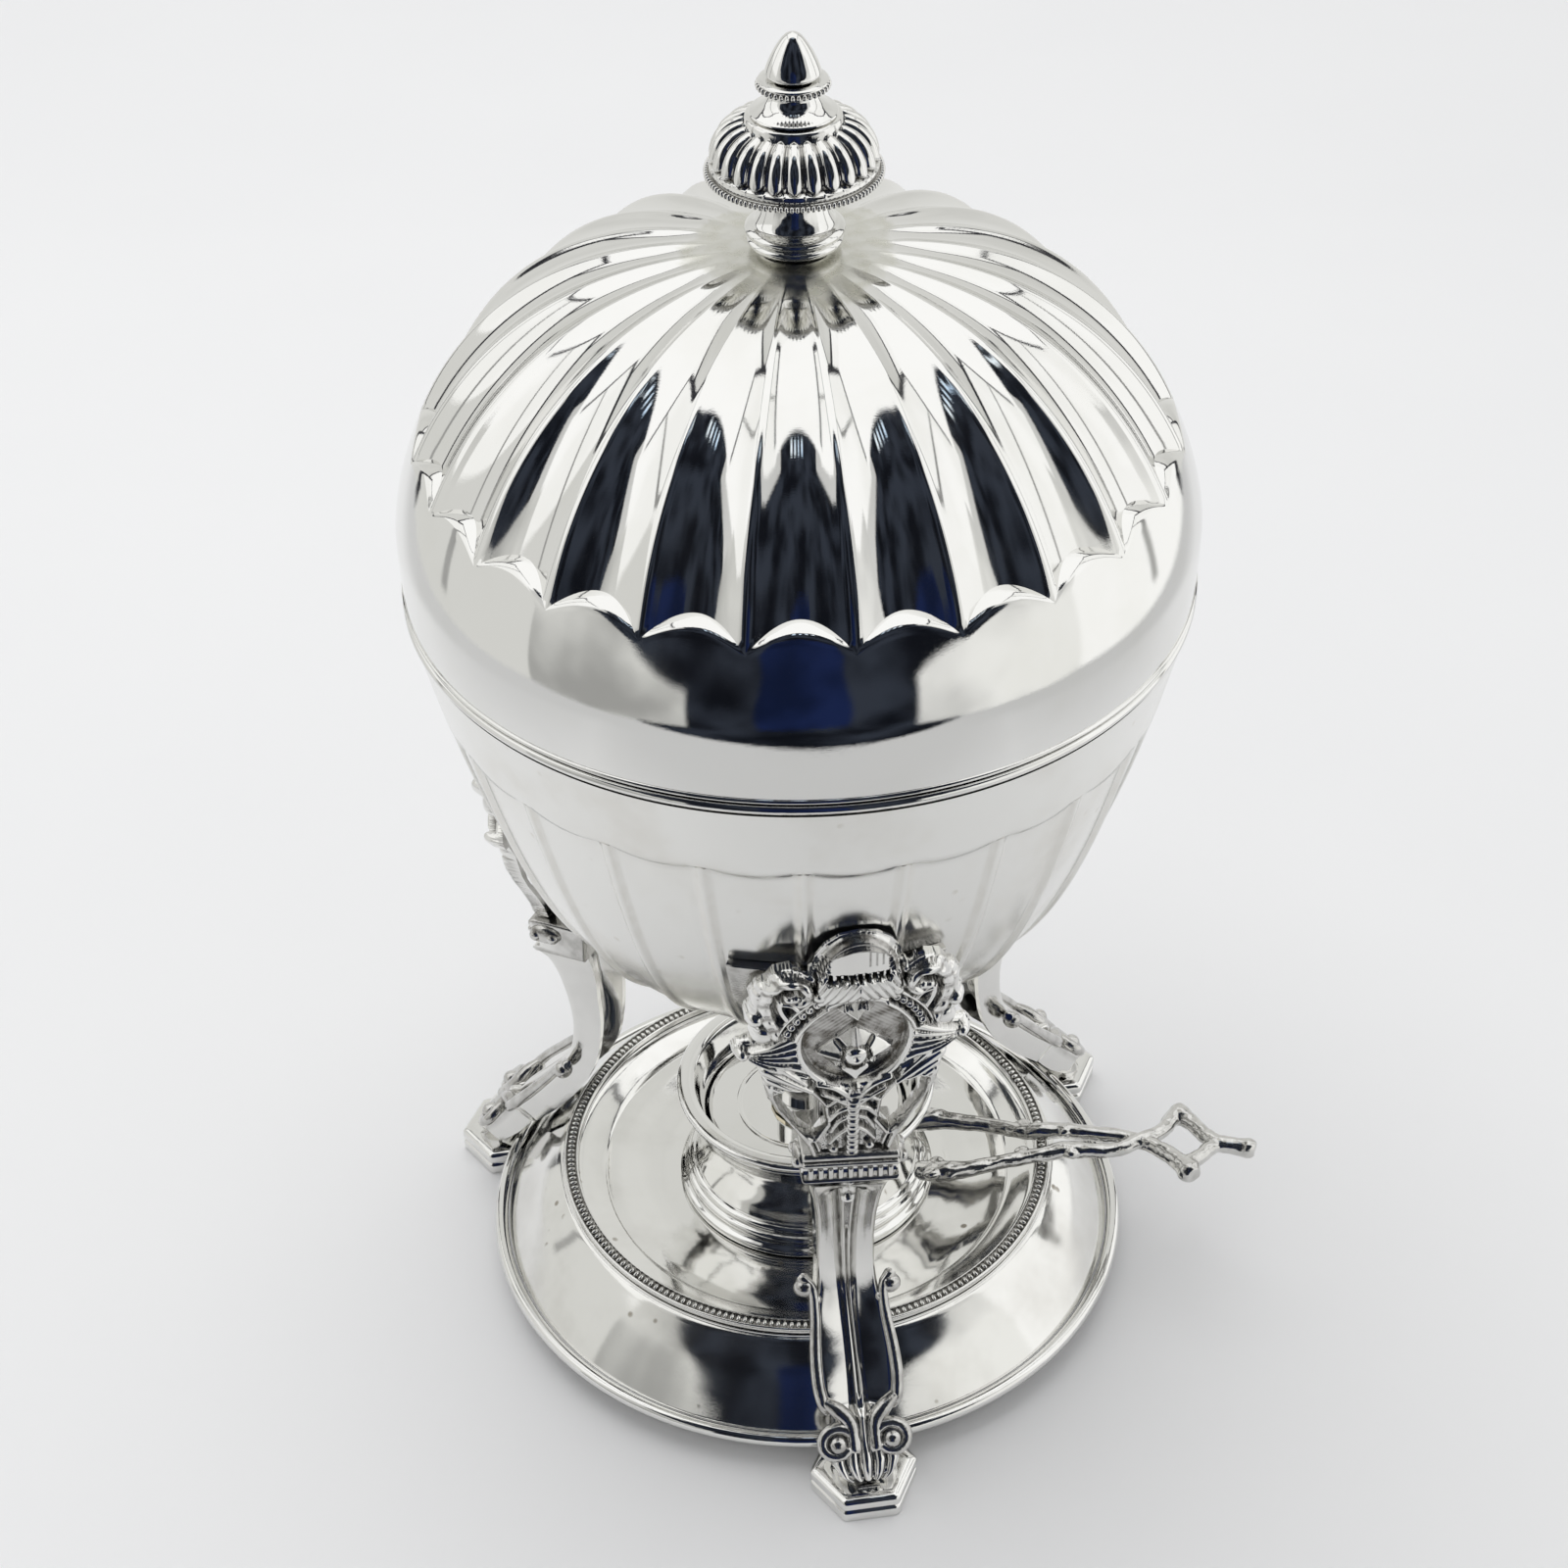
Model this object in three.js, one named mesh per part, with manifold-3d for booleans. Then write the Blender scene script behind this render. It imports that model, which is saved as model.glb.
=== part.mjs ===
// Egg coddler: a covered, fluted bowl on three cast legs, with a spirit burner on a tray below it.
// Millimetres, +Z up. The front leg points along -Y. The origin is the centre of the base.

import * as THREE from 'three';
import { mergeVertices } from 'three/addons/utils/BufferGeometryUtils.js';
import Module from 'manifold-3d';

const wasm = await Module();
wasm.setup();

// Fits
const GAP = 0.3; // between pieces that are soldered, screwed or rest on each other
const SLIDING_FIT = 0.5; // round a piece that lifts out by hand

// Round-body resolution
const FINE = 72;
const MEDIUM = 48;
const INNER = 36;
const COARSE = 16;

// Legs and feet
const LEG_COUNT = 3;
const PLINTH_RADIUS = 9.9; // to the corners of the hexagon
const PLINTH_HEIGHT = 5.3;
const PLINTH_OUTSET = 4.6; // plinth centre beyond the middle of the tray's rim wire
const KNEE_INSET = 25.3; // back of the leg at its knee, within the bowl's radius
const KNEE_HEIGHT = 46.0;
const LEG_DEPTH = 6.3; // front to back at the knee
const LEG_WIDTH = 12.0;
const LEG_WALL = 1.9; // the casting is hollow at the back
const CAPITAL_WIDTH = 17.4;
const CAPITAL_HEIGHT = 7.6;
const CAPITAL_DROP = 10.4; // top of the capital below the underside of the bowl
const CAPITAL_INSET = 13.4; // front of the capital within the bowl's radius
const SCROLL_RADIUS = 3.6;
const LEG_TO_TRAY = 1.1;
const CARTOUCHE_THICKNESS = 3.0;
const LUG_THICKNESS = 2.4;
const LUG_REACH = 22.0; // degrees to each side of the leg

// Bowl
const BOWL_RADIUS = 64.6;
const BOWL_BOTTOM = 80.8; // height of the underside above the table
const BOWL_HEIGHT = 76.7; // to the top of the rim
const BOWL_WALL = 1.3;
const BOWL_SHOULDER_POWER = 0.94;
const BOWL_BELLY_POWER = 4.6;
const PANEL_COUNT = 24;
const PANEL_DEPTH = 0.9;
const PANEL_BAND = 13.6; // plain band above the panels
const PANEL_TURN = -8.5; // degrees from the front leg to the first rib between two panels
const RIM_HEIGHT = 1.9;
const RIM_SWELL = 0.7; // how far the rim stands out beyond the bowl

// Lid
const LID_WALL = 1.1;
const LID_BAND = 11.5; // upright band below the dome
const LID_BULGE = 0.5; // how far the band swells beyond its foot
const DOME_RISE = 46.0;
const DOME_RISE_POWER = 1.46;
const DOME_SIDE_POWER = 2.96;
const FLUTE_COUNT = 24;
const FLUTE_DEPTH = 2.3;
const FLUTE_CUSP_RISE = 13.2; // cusps of the flutes above the start of the dome
const FLUTE_ARCH_RISE = 7.0; // crown of each arch above its cusps
const FLUTE_FADE_START = 8.0; // radius where the flutes die out under the finial
const FLUTE_FADE_END = 50.0;
const FLUTE_TURN = -1.0; // degrees from the front leg to the first ridge between two flutes
const BEZEL_DEPTH = 6.0;
const BEZEL_WALL = 1.2;

// Finial
const STUD_RADIUS = 1.6;
const FINIAL_FOOT_RADIUS = 7.4;
const FINIAL_FOOT_HEIGHT = 11.6;
const FINIAL_NECK_RADIUS = 4.9;
const KNOP_RADIUS = 13.0;
const KNOP_HEIGHT = 9.8;
const KNOP_LOBES = 24;
const KNOP_LOBE_DEPTH = 0.7;
const KNOP_DISC_RADIUS = 7.1;
const KNOP_BEAD_RADIUS = 0.8;
const COLLAR_RADIUS = 5.65;
const COLLAR_HEIGHT = 5.4;
const BUD_RADIUS = 4.1;
const BUD_HEIGHT = 6.7;
const NUT_RADIUS = 4.6;
const NUT_HEIGHT = 3.0;

// Tray
const TRAY_RADIUS = 59.7; // to the middle of the rim wire
const TRAY_WIRE_RADIUS = 1.3;
const TRAY_WALL = 1.0;
const TRAY_SHOULDER_RADIUS = 47.6;
const TRAY_SHOULDER_RISE = 13.7; // shoulder above the middle of the rim wire
const TRAY_BEAD_RADIUS = 0.8;
const TRAY_WELL_RADIUS = 44.0;
const TRAY_FLOOR_RADIUS = 39.0;
const TRAY_WELL_DEPTH = 4.6;

// Burner
const BURNER_RADIUS = 24.4;
const BURNER_HEIGHT = 24.0;
const BURNER_WAIST_RADIUS = 20.6;
const BURNER_LIP_WIDTH = 3.4;
const BURNER_RECESS = 6.4;
const BURNER_WALL = 1.2;
const WICK_TUBE_RADIUS = 4.2;
const WICK_TUBE_WALL = 0.8;
const WICK_TUBE_RISE = 7.0; // above the top plate
const WICK_RADIUS = 2.7;
const SNUFFER_WALL = 0.8;
const SNUFFER_KNOB_RADIUS = 2.0;

// Twig handle of the burner
const HANDLE_AZIMUTH = 79.0; // degrees round from the front leg towards +X
const HANDLE_HEIGHT = 8.4; // above the tray floor at the burner
const HANDLE_RISE = 1.6; // the tip stands this much higher
const HANDLE_REACH = 61.2; // tip beyond the burner's foot
const TWIG_RADIUS = 1.35;
const TWIG_SPREAD = 7.5; // each arm's end off the middle of the two
const ROOT_OFFSET = -3.1; // the middle of the two ends off the handle's line
const LOOP_HALF_WIDTH = 6.2;

// Egg rack inside the bowl
const EGG_COUNT = 4;
const EGG_RING_RADIUS = 18.2;
const RACK_WIRE_RADIUS = 1.2;
const EGG_RING_RISE = 34.6; // above the inside bottom of the bowl
const RACK_FOOT_RADIUS = 26.0;
const RACK_STEM_RADIUS = 2.0;
const RACK_STEM_LENGTH = 66.0;
const RACK_LOOP_RADIUS = 8.5;
const HUB_HEIGHT = 3.2;

// Levels that follow from the sizes above
const plinthTop = PLINTH_HEIGHT;
const trayRimHeight = plinthTop + GAP + TRAY_WIRE_RADIUS;
const trayShoulderHeight = trayRimHeight + TRAY_SHOULDER_RISE;
const trayFloorHeight = trayShoulderHeight - TRAY_WELL_DEPTH;
const burnerFoot = trayFloorHeight + GAP;
const burnerTop = burnerFoot + BURNER_HEIGHT;
const bowlRim = BOWL_BOTTOM + BOWL_HEIGHT;
const rimFoot = bowlRim - RIM_HEIGHT;
const shellTop = rimFoot - GAP;
const shellHeight = shellTop - BOWL_BOTTOM;
const lidFoot = bowlRim + GAP;
const domeStart = lidFoot + LID_BAND;
const domeTop = domeStart + DOME_RISE;
const finialFoot = domeTop + GAP;
const knopFoot = finialFoot + FINIAL_FOOT_HEIGHT + GAP;
const collarFoot = knopFoot + KNOP_HEIGHT + GAP;
const capitalTop = BOWL_BOTTOM - CAPITAL_DROP;
const capitalBottom = capitalTop - CAPITAL_HEIGHT;
const capitalFront = BOWL_RADIUS - CAPITAL_INSET;
const kneeRadius = BOWL_RADIUS - KNEE_INSET;
const plinthCentre = TRAY_RADIUS + PLINTH_OUTSET;
const rackFloor = BOWL_BOTTOM + BOWL_WALL;

// Materials
function metal(color, roughness) {
  return new THREE.MeshStandardMaterial({ color, roughness, metalness: 1 });
}
const silver = () => metal(0xd6d6d2, 0.12);
const castSilver = () => metal(0xb9b9b4, 0.28);
const brass = () => metal(0xb8923f, 0.35);
const cotton = () => new THREE.MeshStandardMaterial({ color: 0xe9e2d0, roughness: 0.95, metalness: 0 });

// A closed geometry with shared vertices, no empty triangles and its faces pointing out.
function closed(source) {
  const bare = source.clone();
  bare.deleteAttribute('normal');
  bare.deleteAttribute('uv');
  const merged = mergeVertices(bare, 1e-4);
  const position = merged.attributes.position;
  const a = new THREE.Vector3();
  const b = new THREE.Vector3();
  const c = new THREE.Vector3();
  const triangles = [];
  let volume = 0;
  for (let i = 0; i < merged.index.count; i += 3) {
    const corner = [merged.index.getX(i), merged.index.getX(i + 1), merged.index.getX(i + 2)];
    if (new Set(corner).size < 3) continue;
    a.fromBufferAttribute(position, corner[0]);
    b.fromBufferAttribute(position, corner[1]);
    c.fromBufferAttribute(position, corner[2]);
    volume += a.dot(b.cross(c));
    triangles.push(corner);
  }
  const ordered = volume < 0 ? triangles.map(([i, j, k]) => [i, k, j]) : triangles;
  merged.setIndex(ordered.flat());
  return merged;
}

function solid(geometry) {
  const shape = closed(geometry);
  return new wasm.Manifold(new wasm.Mesh({
    numProp: 3,
    vertProperties: new Float32Array(shape.attributes.position.array),
    triVerts: new Uint32Array(shape.index.array),
  }));
}

function geometryOf(shape) {
  const mesh = shape.getMesh();
  const geometry = new THREE.BufferGeometry();
  geometry.setAttribute('position', new THREE.BufferAttribute(new Float32Array(mesh.vertProperties), 3));
  geometry.setIndex(Array.from(mesh.triVerts));
  return geometry;
}

function union(shapes) {
  return shapes.reduce((whole, shape) => whole.add(shape));
}

const coddler = new THREE.Group();

function piece(name, geometry, material, parent = coddler) {
  const shape = closed(geometry);
  shape.computeVertexNormals();
  const mesh = new THREE.Mesh(shape, material);
  mesh.name = name;
  parent.add(mesh);
  return mesh;
}

// A body turned about the Z axis from a profile of [radius, height] points.
function turned(profile, segments) {
  const points = profile.map(([radius, height]) => new THREE.Vector2(radius, height));
  const onAxis = points[0].x === 0 && points[points.length - 1].x === 0;
  if (!onAxis) points.push(points[0].clone());
  return new THREE.LatheGeometry(points, segments).rotateX(Math.PI / 2);
}

// The same body, with each point moved in or out by a pattern of its azimuth, radius and height.
function patterned(profile, segments, inset) {
  const geometry = turned(profile, segments);
  const position = geometry.attributes.position;
  for (let i = 0; i < position.count; i += 1) {
    const x = position.getX(i);
    const y = position.getY(i);
    const radius = Math.hypot(x, y);
    if (radius < 1e-6) continue;
    const share = 1 - inset(Math.atan2(x, -y), radius, position.getZ(i)) / radius;
    position.setX(i, x * share);
    position.setY(i, y * share);
  }
  return geometry;
}

function ringBody(ringRadius, wireRadius, height, segments, sides) {
  return new THREE.TorusGeometry(ringRadius, wireRadius, sides, segments).translate(0, 0, height);
}

function ball(radii, centre, across, down) {
  return new THREE.SphereGeometry(1, across, down).scale(...radii).translate(...centre);
}

// A side view of [outward, up] points, drawn out sideways about X = 0 towards -Y.
function sideSlab(points, width) {
  const shape = new THREE.Shape(points.map(([out, up]) => new THREE.Vector2(out, up)));
  return new THREE.ExtrudeGeometry(shape, { depth: width, bevelEnabled: false })
    .translate(0, 0, -width / 2)
    .applyMatrix4(new THREE.Matrix4().set(0, 0, 1, 0, -1, 0, 0, 0, 0, 1, 0, 0, 0, 0, 0, 1));
}

// A front view of [sideways, up] points with holes, reaching from one distance out to another.
function frontSlab(outline, holes, from, to) {
  const shape = new THREE.Shape(outline.map(([across, up]) => new THREE.Vector2(across, up)));
  for (const hole of holes) {
    shape.holes.push(new THREE.Path(hole.map(([across, up]) => new THREE.Vector2(across, up))));
  }
  return new THREE.ExtrudeGeometry(shape, { depth: to - from, bevelEnabled: false })
    .rotateX(Math.PI / 2)
    .translate(0, -from, 0);
}

function smoothLine(points, count) {
  const curve = new THREE.SplineCurve(points.map(([x, y]) => new THREE.Vector2(x, y)));
  return curve.getPoints(count).map((point) => [point.x, point.y]);
}

// How far a point lies from the ridges of an even pattern: 0 on a ridge, 1 midway between two.
// The first ridge is at azimuth 0, where a turned body has a row of corners.
function betweenRidges(azimuth, count) {
  const place = ((azimuth * count) / (2 * Math.PI)) % 1;
  const across = 2 * ((place + 1) % 1) - 1;
  return 1 - across * across;
}

function degrees(angle) {
  return THREE.MathUtils.degToRad(angle);
}

// Bowl

function bowlRadius(height, offset = 0) {
  const depth = (shellTop - height) / (shellHeight + offset);
  const share = Math.min(Math.max(depth, 0), 1);
  return (BOWL_RADIUS + offset) * (1 - share ** BOWL_SHOULDER_POWER) ** (1 / BOWL_BELLY_POWER);
}

function bowlHeights(offset) {
  const shares = [0, 0.182, 0.21, 0.42, 0.6, 0.76, 0.88, 0.955, 0.992];
  return shares.map((share) => shellTop - share * (shellHeight + offset));
}

function bowlSide(offset) {
  return bowlHeights(offset).map((height) => [bowlRadius(height, offset), height]);
}

function panelInset(azimuth, radius, height) {
  const below = shellTop - PANEL_BAND - height;
  const fade = Math.min(radius / (BOWL_RADIUS / 2), 1);
  const depth = Math.min(Math.max(below / 2, 0), PANEL_DEPTH);
  return betweenRidges(azimuth, PANEL_COUNT) * depth * fade;
}

function makeBowl() {
  const outside = [[0, BOWL_BOTTOM], ...bowlSide(0).reverse(), [0, shellTop]];
  const mouth = BOWL_RADIUS - BOWL_WALL;
  const side = bowlSide(-BOWL_WALL).reverse();
  const inside = [[0, rackFloor], ...side, [mouth, bowlRim], [0, bowlRim]];
  const shell = solid(patterned(outside, FINE, panelInset)).subtract(solid(turned(inside, INNER)));
  piece('bowl_shell', geometryOf(shell).rotateZ(degrees(PANEL_TURN)), silver());
  const rim = [
    [mouth, rimFoot],
    [BOWL_RADIUS, rimFoot],
    [BOWL_RADIUS + RIM_SWELL, rimFoot + RIM_HEIGHT / 2],
    [BOWL_RADIUS + RIM_SWELL / 2, bowlRim],
    [mouth, bowlRim],
  ];
  piece('bowl_rim', turned(rim, 60), silver());
}

// Everything that the bowl takes up, with a soldering gap round it
function bowlSpace() {
  const side = bowlSide(GAP).reverse();
  return solid(turned([[0, BOWL_BOTTOM - GAP], ...side, [0, shellTop]], MEDIUM));
}

// Lid

function domeRadius(height, offset = 0) {
  const share = Math.min(Math.max((height - domeStart) / (DOME_RISE + offset), 0), 1);
  return (BOWL_RADIUS + LID_BULGE + offset) * (1 - share ** DOME_RISE_POWER) ** (1 / DOME_SIDE_POWER);
}

const domeOutside = [0, 0.16, 0.286, 0.36, 0.44, 0.6, 0.76, 0.89, 0.97];
const domeInside = [0.95, 0.78, 0.6, 0.44, 0.286, 0];

function domeSide(shares, offset) {
  return shares.map((share) => {
    const height = domeStart + share * (DOME_RISE + offset);
    return [domeRadius(height, offset), height];
  });
}

function fluteInset(azimuth, radius, height) {
  const rise = height - domeStart - FLUTE_CUSP_RISE;
  if (rise <= 0) return 0;
  const from = (radius - FLUTE_FADE_START) / (FLUTE_FADE_END - FLUTE_FADE_START);
  const fade = Math.min(Math.max(from, 0), 1);
  const flute = betweenRidges(azimuth, FLUTE_COUNT) * FLUTE_DEPTH * fade;
  const band = (rise / FLUTE_ARCH_RISE) * FLUTE_DEPTH;
  return Math.min(flute, band);
}

const studHole = STUD_RADIUS + GAP;

function makeLid() {
  const foot = BOWL_RADIUS - LID_BULGE / 2;
  const swell = BOWL_RADIUS + LID_BULGE;
  const profile = [
    [foot - LID_WALL, lidFoot],
    [foot, lidFoot],
    [swell, lidFoot + LID_BAND / 2],
    ...domeSide(domeOutside, 0),
    [studHole, domeTop],
    [studHole, domeTop - LID_WALL],
    ...domeSide(domeInside, -LID_WALL),
    [swell - LID_WALL, lidFoot + LID_BAND / 2],
  ];
  piece('lid_shell', patterned(profile, FINE, fluteInset).rotateZ(degrees(FLUTE_TURN)), silver());

  const outer = bowlRadius(bowlRim - BEZEL_DEPTH, -BOWL_WALL) - SLIDING_FIT;
  const inner = outer - BEZEL_WALL;
  const top = lidFoot + BEZEL_DEPTH / 2;
  const flange = foot - LID_WALL - GAP;
  const bezel = [
    [inner, bowlRim - BEZEL_DEPTH],
    [outer, bowlRim - BEZEL_DEPTH],
    [outer, lidFoot],
    [flange, lidFoot + GAP],
    [flange, top],
    [inner, top],
  ];
  piece('lid_bezel', turned(bezel, INNER), silver());
}

// Finial, from the lid upwards

function makeFinial() {
  const footProfile = [
    [studHole, finialFoot],
    [FINIAL_FOOT_RADIUS - 0.8, finialFoot],
    [FINIAL_FOOT_RADIUS - 0.4, finialFoot + 1.2],
    [FINIAL_FOOT_RADIUS - 1.1, finialFoot + 1.9],
    [FINIAL_FOOT_RADIUS, finialFoot + 3.0],
    [FINIAL_FOOT_RADIUS - 0.5, finialFoot + 4.0],
    [FINIAL_NECK_RADIUS + 0.3, finialFoot + 6.4],
    [FINIAL_NECK_RADIUS, finialFoot + 8.6],
    [FINIAL_NECK_RADIUS + 2.2, finialFoot + FINIAL_FOOT_HEIGHT],
    [studHole, finialFoot + FINIAL_FOOT_HEIGHT],
  ];
  piece('finial_foot', turned(footProfile, COARSE), silver());

  const knopProfile = [
    [studHole, knopFoot],
    [FINIAL_NECK_RADIUS + 3.0, knopFoot],
    [KNOP_RADIUS - 1.2, knopFoot + 1.0],
    [KNOP_RADIUS, knopFoot + 2.9],
    [KNOP_RADIUS - 0.5, knopFoot + 5.2],
    [KNOP_RADIUS - 2.7, knopFoot + 7.5],
    [KNOP_DISC_RADIUS + 0.6, knopFoot + KNOP_HEIGHT - 0.6],
    [KNOP_DISC_RADIUS, knopFoot + KNOP_HEIGHT],
    [studHole, knopFoot + KNOP_HEIGHT],
  ];
  const lobes = (azimuth, radius, height) => {
    const fade = Math.min(Math.max(radius - KNOP_DISC_RADIUS, 0) / 3, 1);
    const rounded = 1 - betweenRidges(azimuth, KNOP_LOBES);
    return height > knopFoot + 2 ? rounded * KNOP_LOBE_DEPTH * fade : 0;
  };
  piece('finial_knop', patterned(knopProfile, 2 * KNOP_LOBES, lobes), castSilver());

  const beadSeat = KNOP_RADIUS - 1.2 + KNOP_BEAD_RADIUS + GAP;
  piece('finial_bead_ring', ringBody(beadSeat, KNOP_BEAD_RADIUS, knopFoot + 0.6, INNER, 5), castSilver());

  const collarProfile = [
    [studHole, collarFoot],
    [KNOP_DISC_RADIUS - 0.3, collarFoot],
    [KNOP_DISC_RADIUS - 1.2, collarFoot + 0.9],
    [3.7, collarFoot + 2.4],
    [3.5, collarFoot + COLLAR_HEIGHT - 1.8],
    [COLLAR_RADIUS - 0.6, collarFoot + COLLAR_HEIGHT - 1.4],
    [COLLAR_RADIUS, collarFoot + COLLAR_HEIGHT - 0.7],
    [COLLAR_RADIUS - 0.6, collarFoot + COLLAR_HEIGHT],
    [studHole, collarFoot + COLLAR_HEIGHT],
  ];
  piece('finial_collar', turned(collarProfile, COARSE), silver());

  const budFoot = collarFoot + COLLAR_HEIGHT + GAP;
  const socket = BUD_HEIGHT * 0.45;
  const budProfile = [
    [0, budFoot + socket],
    [studHole, budFoot + socket],
    [studHole, budFoot],
    [BUD_RADIUS - 0.7, budFoot],
    [BUD_RADIUS, budFoot + BUD_HEIGHT * 0.16],
    [BUD_RADIUS * 0.93, budFoot + BUD_HEIGHT * 0.4],
    [BUD_RADIUS * 0.7, budFoot + BUD_HEIGHT * 0.68],
    [BUD_RADIUS * 0.36, budFoot + BUD_HEIGHT * 0.9],
    [0, budFoot + BUD_HEIGHT],
  ];
  piece('finial_bud', turned(budProfile, COARSE), silver());

  const nutTop = domeTop - LID_WALL - GAP;
  const studBottom = nutTop - NUT_HEIGHT - 1.5;
  const studTop = budFoot + socket - GAP;
  const studLength = studTop - studBottom;
  const stud = new THREE.CylinderGeometry(STUD_RADIUS, STUD_RADIUS, studLength, 12)
    .rotateX(Math.PI / 2)
    .translate(0, 0, studBottom + studLength / 2);
  piece('finial_stud', stud, brass());
  const nutProfile = [
    [studHole, nutTop - NUT_HEIGHT],
    [NUT_RADIUS, nutTop - NUT_HEIGHT],
    [NUT_RADIUS, nutTop],
    [studHole, nutTop],
  ];
  piece('finial_nut', turned(nutProfile, 6), brass());
}

// Legs. Each is built at the front, pointing along -Y, and turned into place.

const ovalCentre = BOWL_BOTTOM + 17.0;
const crestCentre = BOWL_BOTTOM + 38.6;
const lugBottom = BOWL_BOTTOM + 23.0;
const lugTop = BOWL_BOTTOM + 36.0;

function lugBand(inner, outer, low, high) {
  const heights = [0, 0.5, 1].map((share) => low + share * (high - low));
  const inside = heights.map((height) => [bowlRadius(height, inner), height]);
  const outside = heights.map((height) => [bowlRadius(height, outer), height]);
  return solid(turned([...inside, ...outside.reverse()], MEDIUM));
}

function wedge(angle, reach, low, high) {
  const across = Math.tan(degrees(angle)) * reach;
  const outline = [[0, 0], [across, reach], [-across, reach]];
  const shape = new THREE.Shape(outline.map(([x, y]) => new THREE.Vector2(x, -y)));
  return solid(new THREE.ExtrudeGeometry(shape, { depth: high - low, bevelEnabled: false })
    .translate(0, 0, low));
}

function makeLug() {
  const reach = BOWL_RADIUS + 20;
  const band = lugBand(GAP, GAP + LUG_THICKNESS, lugBottom, lugTop)
    .intersect(wedge(LUG_REACH, reach, lugBottom - 1, lugTop + 1));
  const webWidth = LEG_WIDTH - 1.2;
  const slab = (back, wall, width) => {
    const front = cartoucheBack().map(([out, up]) => [out - GAP - wall, up]);
    const top = front[front.length - 1][1];
    return solid(sideSlab([[back, capitalTop - 2], ...front, [back, top]], width));
  };
  const web = slab(kneeRadius - 0.4, 0, webWidth)
    .subtract(slab(kneeRadius - 5, LEG_WALL, webWidth - 2 * LEG_WALL))
    .intersect(solid(new THREE.BoxGeometry(BOWL_RADIUS, BOWL_RADIUS, lugTop - capitalTop - GAP)
      .translate(0, -kneeRadius, (lugTop + capitalTop + GAP) / 2)));
  return union([web.subtract(bowlSpace()), band]);
}

function cartoucheOutline() {
  const half = [
    [6.8, capitalTop + GAP],
    [8.4, capitalTop + 4.5],
    [14.2, capitalTop + 14.5],
    [15.6, ovalCentre - 6.5],
    [18.6, ovalCentre - 2.2],
    [18.2, ovalCentre + 1.6],
    [16.6, ovalCentre + 6.0],
    [17.2, ovalCentre + 11.0],
    [14.0, ovalCentre + 17.0],
    [9.2, ovalCentre + 17.6],
    [8.6, crestCentre + 2.0],
    [5.6, crestCentre + 6.8],
    [0, crestCentre + 8.4],
  ];
  const mirrored = half.slice(0, -1).reverse().map(([across, up]) => [-across, up]);
  return [...half, ...mirrored];
}

function cartoucheHole(side) {
  const low = capitalTop + 7.4;
  const points = [[5.2, low + 2.0], [7.0, low], [11.0, low + 6.0], [11.2, low + 9.0], [6.4, low + 8.6]];
  return points.map(([across, up]) => [side * across, up]);
}

function cartoucheBack() {
  return [
    [capitalFront - 3.0, capitalTop - 2],
    [capitalFront - 1.6, capitalTop + 10],
    [capitalFront + 0.4, ovalCentre - 2],
    [capitalFront + 2.4, ovalCentre + 9],
    [capitalFront + 4.2, crestCentre - 4],
    [capitalFront + 5.6, crestCentre + 4],
    [capitalFront + 6.0, crestCentre + 12],
  ];
}

function makeCartouche() {
  const within = BOWL_RADIUS / 2;
  const beyond = BOWL_RADIUS + 16;
  const lean = cartoucheBack();
  const front = lean.map(([out, up]) => [out + CARTOUCHE_THICKNESS, up]).reverse();
  const profile = solid(sideSlab([...lean, ...front], BOWL_RADIUS));
  const holes = [cartoucheHole(1), cartoucheHole(-1)];
  const outline = solid(frontSlab(cartoucheOutline(), holes, within, beyond));
  const bosses = [
    ball([8.6, 3.0, 9.6], [0, -(capitalFront + 3.2), ovalCentre], 12, 8),
    ball([8.6, 3.4, 8.2], [0, -(capitalFront + 8.0), crestCentre], 12, 7),
  ];
  for (const side of [-1, 1]) {
    bosses.push(ball([3.8, 2.8, 6.6], [side * 13.0, -(capitalFront + 5.6), ovalCentre + 10.5], 10, 6));
    bosses.push(ball([2.4, 2.4, 2.4], [side * 17.6, -(capitalFront + 2.4), ovalCentre + 1.5], 8, 5));
  }
  const lugSpace = lugBand(-2, GAP + LUG_THICKNESS + GAP, lugBottom - GAP, lugTop + GAP)
    .intersect(wedge(LUG_REACH + 1, BOWL_RADIUS + 20, lugBottom - 2, lugTop + 2));
  const plate = profile.intersect(outline);
  const backTop = lean[lean.length - 1][1];
  const back = [[within, lean[0][1]], ...lean, [within, backTop]];
  const behind = solid(sideSlab(back, BOWL_RADIUS));
  return union([plate, ...bosses.map(solid)]).subtract(behind).subtract(bowlSpace()).subtract(lugSpace);
}

// The back of the leg keeps clear of the tray: it runs down beside the skirt.
const skirtRun = TRAY_RADIUS - TRAY_SHOULDER_RADIUS;

function legBack() {
  const shoulder = [TRAY_SHOULDER_RADIUS + LEG_TO_TRAY, trayShoulderHeight + LEG_TO_TRAY];
  const toe = [TRAY_RADIUS + TRAY_WIRE_RADIUS + LEG_TO_TRAY, trayRimHeight + 0.8];
  return smoothLine([
    [kneeRadius - 0.5, capitalBottom],
    [kneeRadius, KNEE_HEIGHT],
    [kneeRadius + 2.0, KNEE_HEIGHT - 9.5],
    [(kneeRadius + shoulder[0]) / 2 + 1.4, (KNEE_HEIGHT - 9.5 + shoulder[1]) / 2 - 2.2],
    [shoulder[0] + 1.2, shoulder[1] - 0.6],
    [shoulder[0] + skirtRun / 2 + 0.6, shoulder[1] - TRAY_SHOULDER_RISE / 2],
    toe,
  ], 14);
}

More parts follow.
